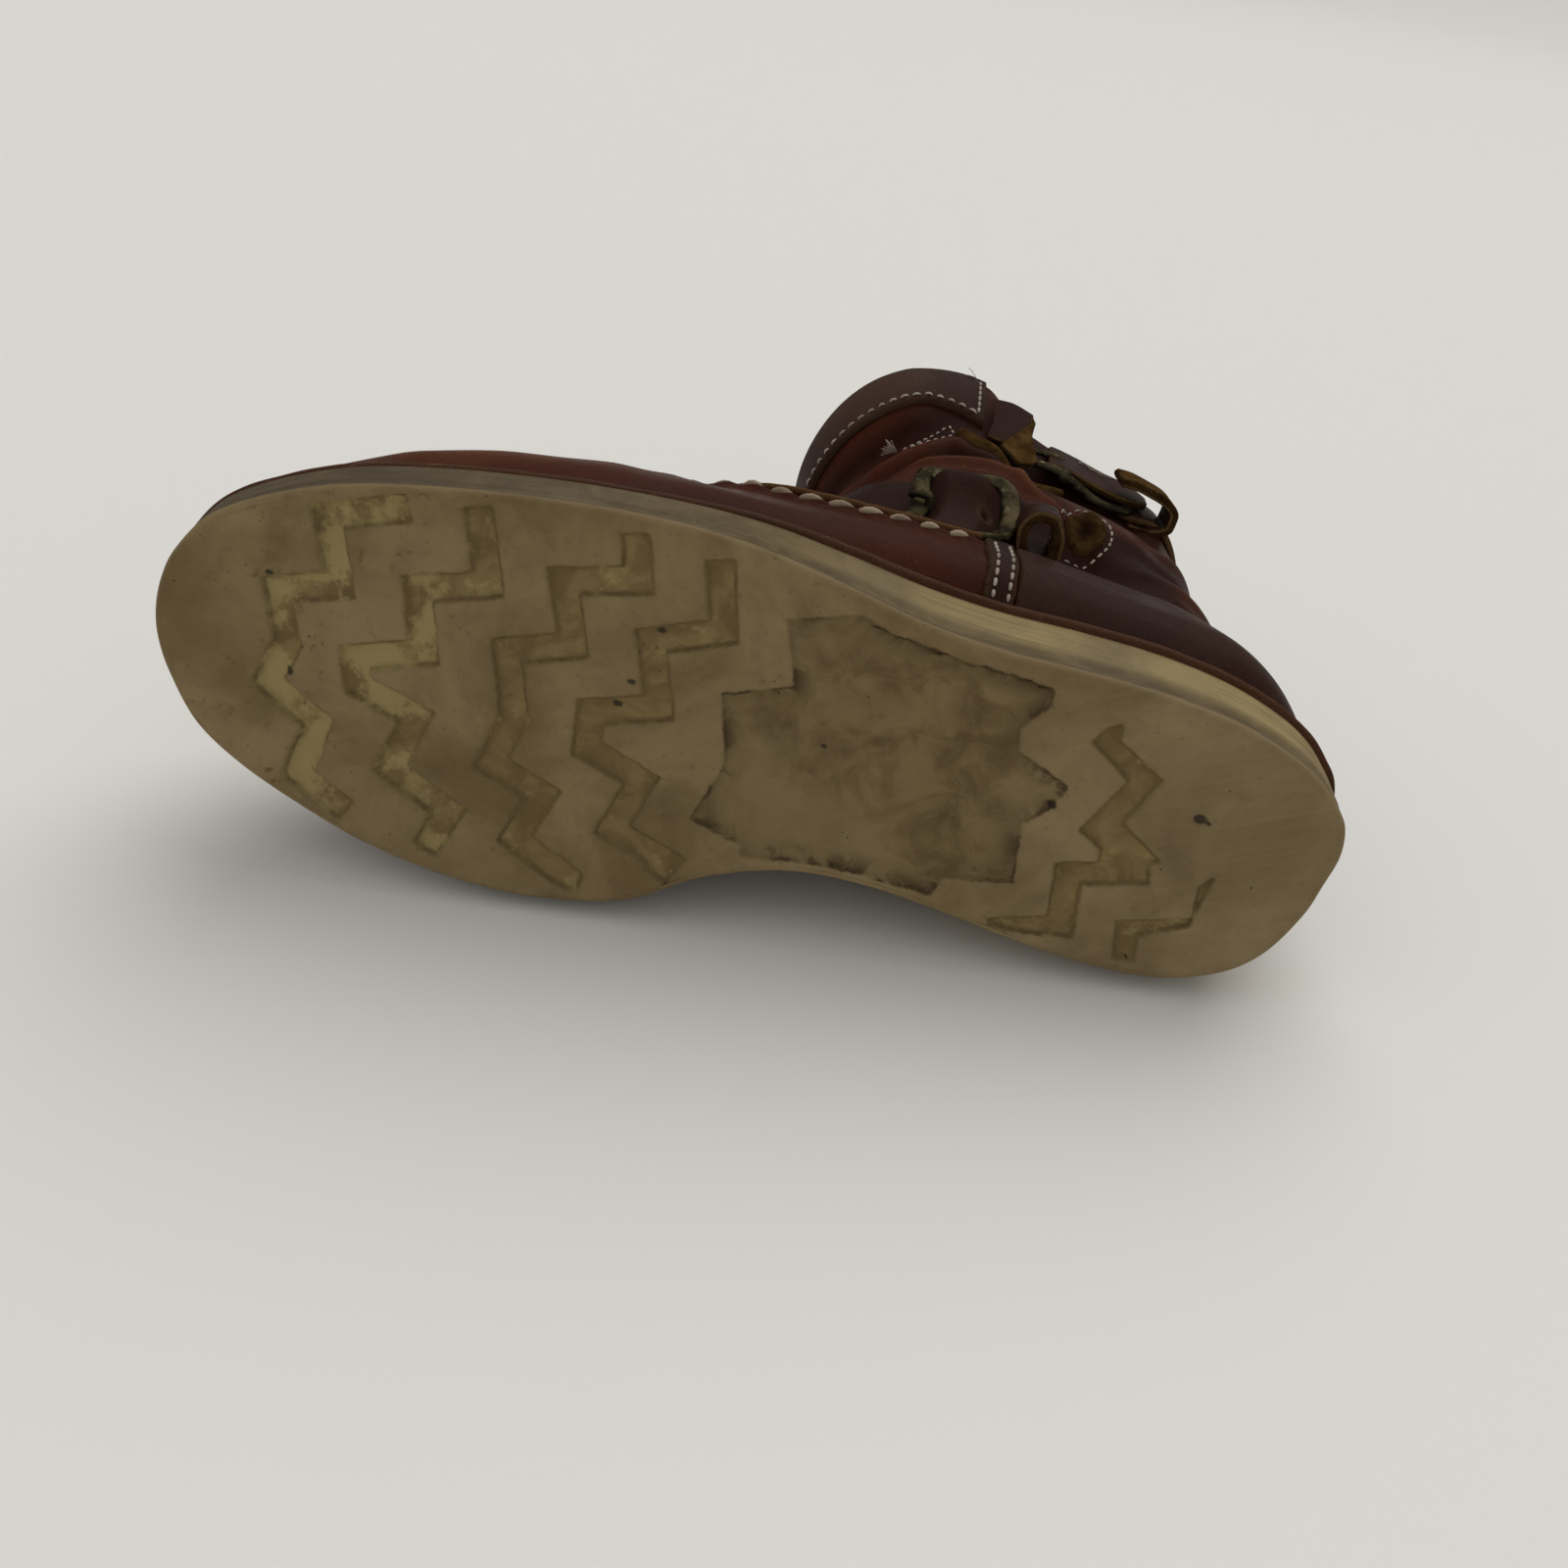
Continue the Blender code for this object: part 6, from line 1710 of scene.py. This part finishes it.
# collar strap: edges of the part that folds back into the buckle, in millimetres over the boot
FOLD_TOP = [(103.4, 74.0, 176), (99.4, 73.6, 176), (95.9, 74.2, 176), (89.9, 74.2, 176), (83.4, 72.8, 175),
            (80.7, 72.0, 173), (81.0, 71.2, 169.5), (83.0, 69.8, 166), (86.4, 67.4, 161), (91.8, 63.4, 153)]
FOLD_LOW = [(102.6, 66.5, 156), (99.1, 65.4, 156), (95.9, 65.0, 156), (89.4, 64.2, 155), (82.6, 62.8, 154),
            (79.7, 61.9, 152.5), (79.6, 61.2, 149.5), (80.8, 60.7, 147), (82.5, 60.5, 146), (85.1, 60.3, 145)]
BILLET_TOP = [(72.2, 62.8, 177), (64.9, 61.4, 177), (58.1, 59.6, 177), (51.5, 58.0, 177),
              (45.3, 56.6, 176.5), (40.0, 55.3, 176),
              (36.4, 53.8, 175)]
BILLET_LOW = [(74.0, 60.6, 157), (67.6, 59.8, 157), (61.7, 58.2, 157), (55.0, 56.4, 157), (49.0, 55.2, 157),
              (42.9, 54.4, 157.5),
              (37.4, 53.6, 158)]
BUCKLE_SIDE = [(83.1, 60.1, 166), (77.0, 60.8, 166), (72.6, 60.6, 166), (67.4, 58.8, 166),
               (62.4, 56.4, 166), (56.8, 53.7, 166),
               (51.8, 52.5, 166), (47.1, 52.4, 166), (42.6, 51.8, 166)]
KEEPER_CURL = [(49.6, 61.4), (45.9, 61.3), (39.0, 59.9), (32.8, 57.8), (29.4, 54.0), (29.7, 50.0),
               (33.3, 47.6), (38.0, 46.6),
               (43.5, 47.4)]


def build_collar_set():
    outward = (-0.2, 0.9, -0.2)
    hanging_leather("collar_strap_leather", FOLD_TOP, FOLD_LOW, CHAPE_THICK, outward, "strap_leather",
                    ("collar_strap",), 120, 21, 0.42)
    hanging_leather("collar_billet", BILLET_TOP, BILLET_LOW, BILLET_THICK, outward, "strap_leather", (),
                    70, 21, 0.48, rounded=0.009)
    near = [(x, y, 152.5) for x, y in KEEPER_CURL]
    far = [(x + 0.8, y + 0.8, 166.0) for x, y in KEEPER_CURL]
    hanging_leather("collar_keeper_loop", near, far, COLLAR_KEEPER_THICK, (0, 1, 0), "suede",
                    ("collar_keeper",),
                    70, 11, 0.35, flesh_out=True)
    line = StrapLine(COLLAR_LINE, COLLAR_BUCKLE_TURN)
    s = np.linspace(0.004, line.along[-1] - 0.002, 70)
    swept_strap("collar_chape_leather", line, s, COLLAR_STRAP_WIDTH / 2 - 0.001, level(OVER_GAP), CHAPE_THICK,
                STRAP, "strap_leather", ("collar_chape",), 0.0, 0.35)
    side = FormLine(BUCKLE_SIDE, (0, 0, 1), (0, 1, 0), from_middle=True)
    end = -side.length / 2
    rows = rounded_frame(side.length, COLLAR_FRAME_WIDTH, COLLAR_FRAME_END, COLLAR_FRAME_SIDE, 0.0042)
    loop = frame_bar(side, -rows[:, 0], -rows[:, 1], rows[:, 2], COLLAR_FRAME_THICK, level(-0.0014))
    reach = COLLAR_FRAME_WIDTH / 2 + 0.0004
    roll = side.place(np.full(13, end + 0.0150), np.linspace(-reach, reach, 13), np.full(13, -0.0002))
    metal_piece("collar_buckle_frame", [loop, tube(roll, ROLLER_RADIUS, 16)], "collar_buckle")
    pin = side.place(np.linspace(end + 0.0002, end + 0.0150, 16), np.zeros(16), np.full(16, 0.0018))
    metal_piece("collar_prong_pin", [tube(pin, PIN_RADIUS, 10)], "collar_prong")
    billet = FormLine((np.asarray(BILLET_TOP) + np.asarray(BILLET_LOW)) / 2, (0, 0, 1), (0, 1, 0))
    a = np.linspace(0.3, 2.6, 20)
    ring = billet.place(0.0135 + 0.0030 * np.cos(a), 0.0040 + 0.0014 * np.sin(a),
                        0.0014 + 0.0010 * np.sin(a) ** 2)
    threads = [tube(ring, 0.00026, 6)]
    t = np.linspace(0, 1, 7)
    for k in range(7):
        strand = billet.place(0.0160 + 0.0040 * t + 0.0006 * k * t, 0.0050 + (k - 3) * 0.0005 * t,
                              0.0016 + 0.0008 * np.sin(t * 3 + k))
        threads.append(tube(strand, 0.00012, 5))
    points, faces = joined(threads)
    make_piece("torn_thread", points, faces, THREAD, "suede")


def build_gusset():
    """Raw edge of the slit below the collar, and the suede patch behind the strap."""
    rows_t = (67.5, 72.0, 77.2, 83.2, 88.8, 94.0, 99.0)
    rows_r = (0.765, 0.740, 0.735, 0.748, 0.752, 0.727, 0.680)
    path, normal = path_over(rows_t, rows_r, 90)
    tangent = unit(np.gradient(path, axis=0))
    side = unit(np.cross(normal, tangent))
    across = np.linspace(-1.0, 1.0, 9)
    lift = 0.0026 * cap(1 - np.abs(across)) - 0.0003
    ragged = mottle(path, 0.003, 2.0) * 0.0006
    middle = path[:, None] + side[:, None] * (across[None, :, None] * 0.0026 + ragged[:, None, None])
    points, faces = two_faced(middle + normal[:, None] * lift[None, :, None],
                              middle - normal[:, None] * 0.0006)
    make_piece("slit_edge", points, faces, SUEDE, "suede", edge=np.full(len(points), 0.2))
    turns = np.linspace(-1, 1, 41)
    rises = np.linspace(-1, 1, 31)
    rr, tt = np.meshgrid(rises, turns, indexing="ij")
    radius = np.sqrt(rr ** 2 + tt ** 2)
    squeeze = np.maximum(np.abs(rr), np.abs(tt)) / np.maximum(radius, 1e-6)
    t = np.radians(106.0 + 5.4 * tt * squeeze)
    r = 0.494 + 0.050 * rr * squeeze - 0.006 * tt * squeeze
    p = surface(t, r)
    n = surface_normal(t, r)
    rim = np.clip(1 - radius * squeeze, 0.0, 1.0)
    lift = 0.0018 * cap(rim / 0.15) - 0.0010 * np.exp(-(radius / 0.42) ** 2) + mottle(p, 0.0025, 1.0) * 0.0006
    folds = relief(t, r, p)
    points, faces = two_faced(p + n * (folds + lift)[..., None], p + n * (folds - 0.0006)[..., None])
    # painted shade: the patch is darkened towards the burnt colour, most in its sunk middle
    middle = np.exp(-(radius / 0.55) ** 2).ravel()
    edge = np.concatenate([0.7 + 0.9 * middle, np.ones(radius.size)])
    make_piece("suede_patch", points, faces, SUEDE, "suede", edge=edge)
    a = np.linspace(0, 2 * math.pi, 160)
    ring = skin(np.radians(105.8 + 7.4 * np.cos(a)), 0.492 + 0.080 * np.sin(a))
    thread_row("patch_stitches", [ring], FINE_STITCH_LENGTH, 0.0012, 0.00036)


insole = frame["nodes"]["insole"]
insole.data.materials.clear()
insole.data.materials.append(BOARD)
build_outsole()
build_midsole()
build_upper()
build_overlays()
build_seam()
build_stitching()
build_instep_set()
build_collar_set()
build_gusset()


# stage
def pale_floor():
    """Pale floor that rises softly far away on all sides."""
    turns = np.linspace(0, 2 * math.pi, 97)[:-1]
    rows = [(0.4, 0.0), (1.5, 0.0), (4.0, 0.0), (7.0, 0.0), (9.0, 0.25), (10.5, 0.9), (11.6, 1.9),
            (12.2, 3.2), (12.4, 5.0)]
    spots = [(0.0, 0.0, 0.0)]
    for radius, height in rows:
        spots += [(radius * math.cos(t), radius * math.sin(t), height) for t in turns]
    n = len(turns)
    faces = [(0, 1 + i, 1 + (i + 1) % n) for i in range(n)]
    faces += [tuple(int(k) for k in f) for f in grid_faces(len(rows), n, 1, wrap=True)]
    mesh = bpy.data.meshes.new("floor")
    mesh.from_pydata(spots, [], faces)
    rounded_shading(mesh)
    mat, tree, shader = new_look("pale_floor")
    set_look(tree, shader, Base_Color=(0.84, 0.825, 0.785), Roughness=0.95, Specular_IOR_Level=0.2)
    mesh.materials.append(mat)
    obj = bpy.data.objects.new("floor", mesh)
    obj.location = (0, 0, -0.0005)
    bpy.context.scene.collection.objects.link(obj)


def soft_light(name, toward, power, spread, colour=(1, 1, 1)):
    """Wide even light that comes from a direction."""
    lamp = bpy.data.lights.new(name, "SUN")
    lamp.energy = power
    lamp.angle = math.radians(spread)
    lamp.color = colour
    obj = bpy.data.objects.new(name, lamp)
    obj.rotation_euler = (-Vector(toward)).to_track_quat("-Z", "Y").to_euler()
    bpy.context.scene.collection.objects.link(obj)


pale_floor()
soft_light("top_light", (0.25, 0.75, 1.1), 1.5, 60, (1.0, 0.985, 0.96))
soft_light("front_light", (-0.5, -1.0, 0.7), 0.55, 90, (1.0, 0.99, 0.97))
world = bpy.data.worlds.new("soft_room")
world.use_nodes = True
world.node_tree.nodes["Background"].inputs["Color"].default_value = (0.93, 0.94, 0.95, 1)
world.node_tree.nodes["Background"].inputs["Strength"].default_value = 0.34
bpy.context.scene.world = world
bpy.context.scene.view_settings.view_transform = "Standard"

# camera at the photo's angle to the boot: place and axes in boot coordinates, place in metres
CAMERA_PLACE = (0.1622, 0.1488, -0.3645)
CAMERA_VIEW = (-0.051, -0.389, 0.920)
CAMERA_RIGHT = (-0.974, 0.223, 0.040)
SENSOR_WIDTH = 36.0
FOCAL_PIXELS = 1603
IMAGE_PIXELS = 1600
view_axis = unit(np.array(CAMERA_VIEW) @ BOOT)
right_axis = np.array(CAMERA_RIGHT) @ BOOT
right_axis = unit(right_axis - view_axis * (right_axis @ view_axis))
up_axis = -np.cross(view_axis, right_axis)
camera_data = bpy.data.cameras.new("camera")
camera_data.sensor_width = SENSOR_WIDTH
camera_data.lens = SENSOR_WIDTH * FOCAL_PIXELS / IMAGE_PIXELS
camera_data.clip_start = 0.01
camera = bpy.data.objects.new("camera", camera_data)
axes = np.stack([right_axis, up_axis, -view_axis, laid(CAMERA_PLACE)], axis=-1)
camera.matrix_world = Matrix([*axes.tolist(), (0, 0, 0, 1)])
bpy.context.scene.collection.objects.link(camera)
bpy.context.scene.camera = camera
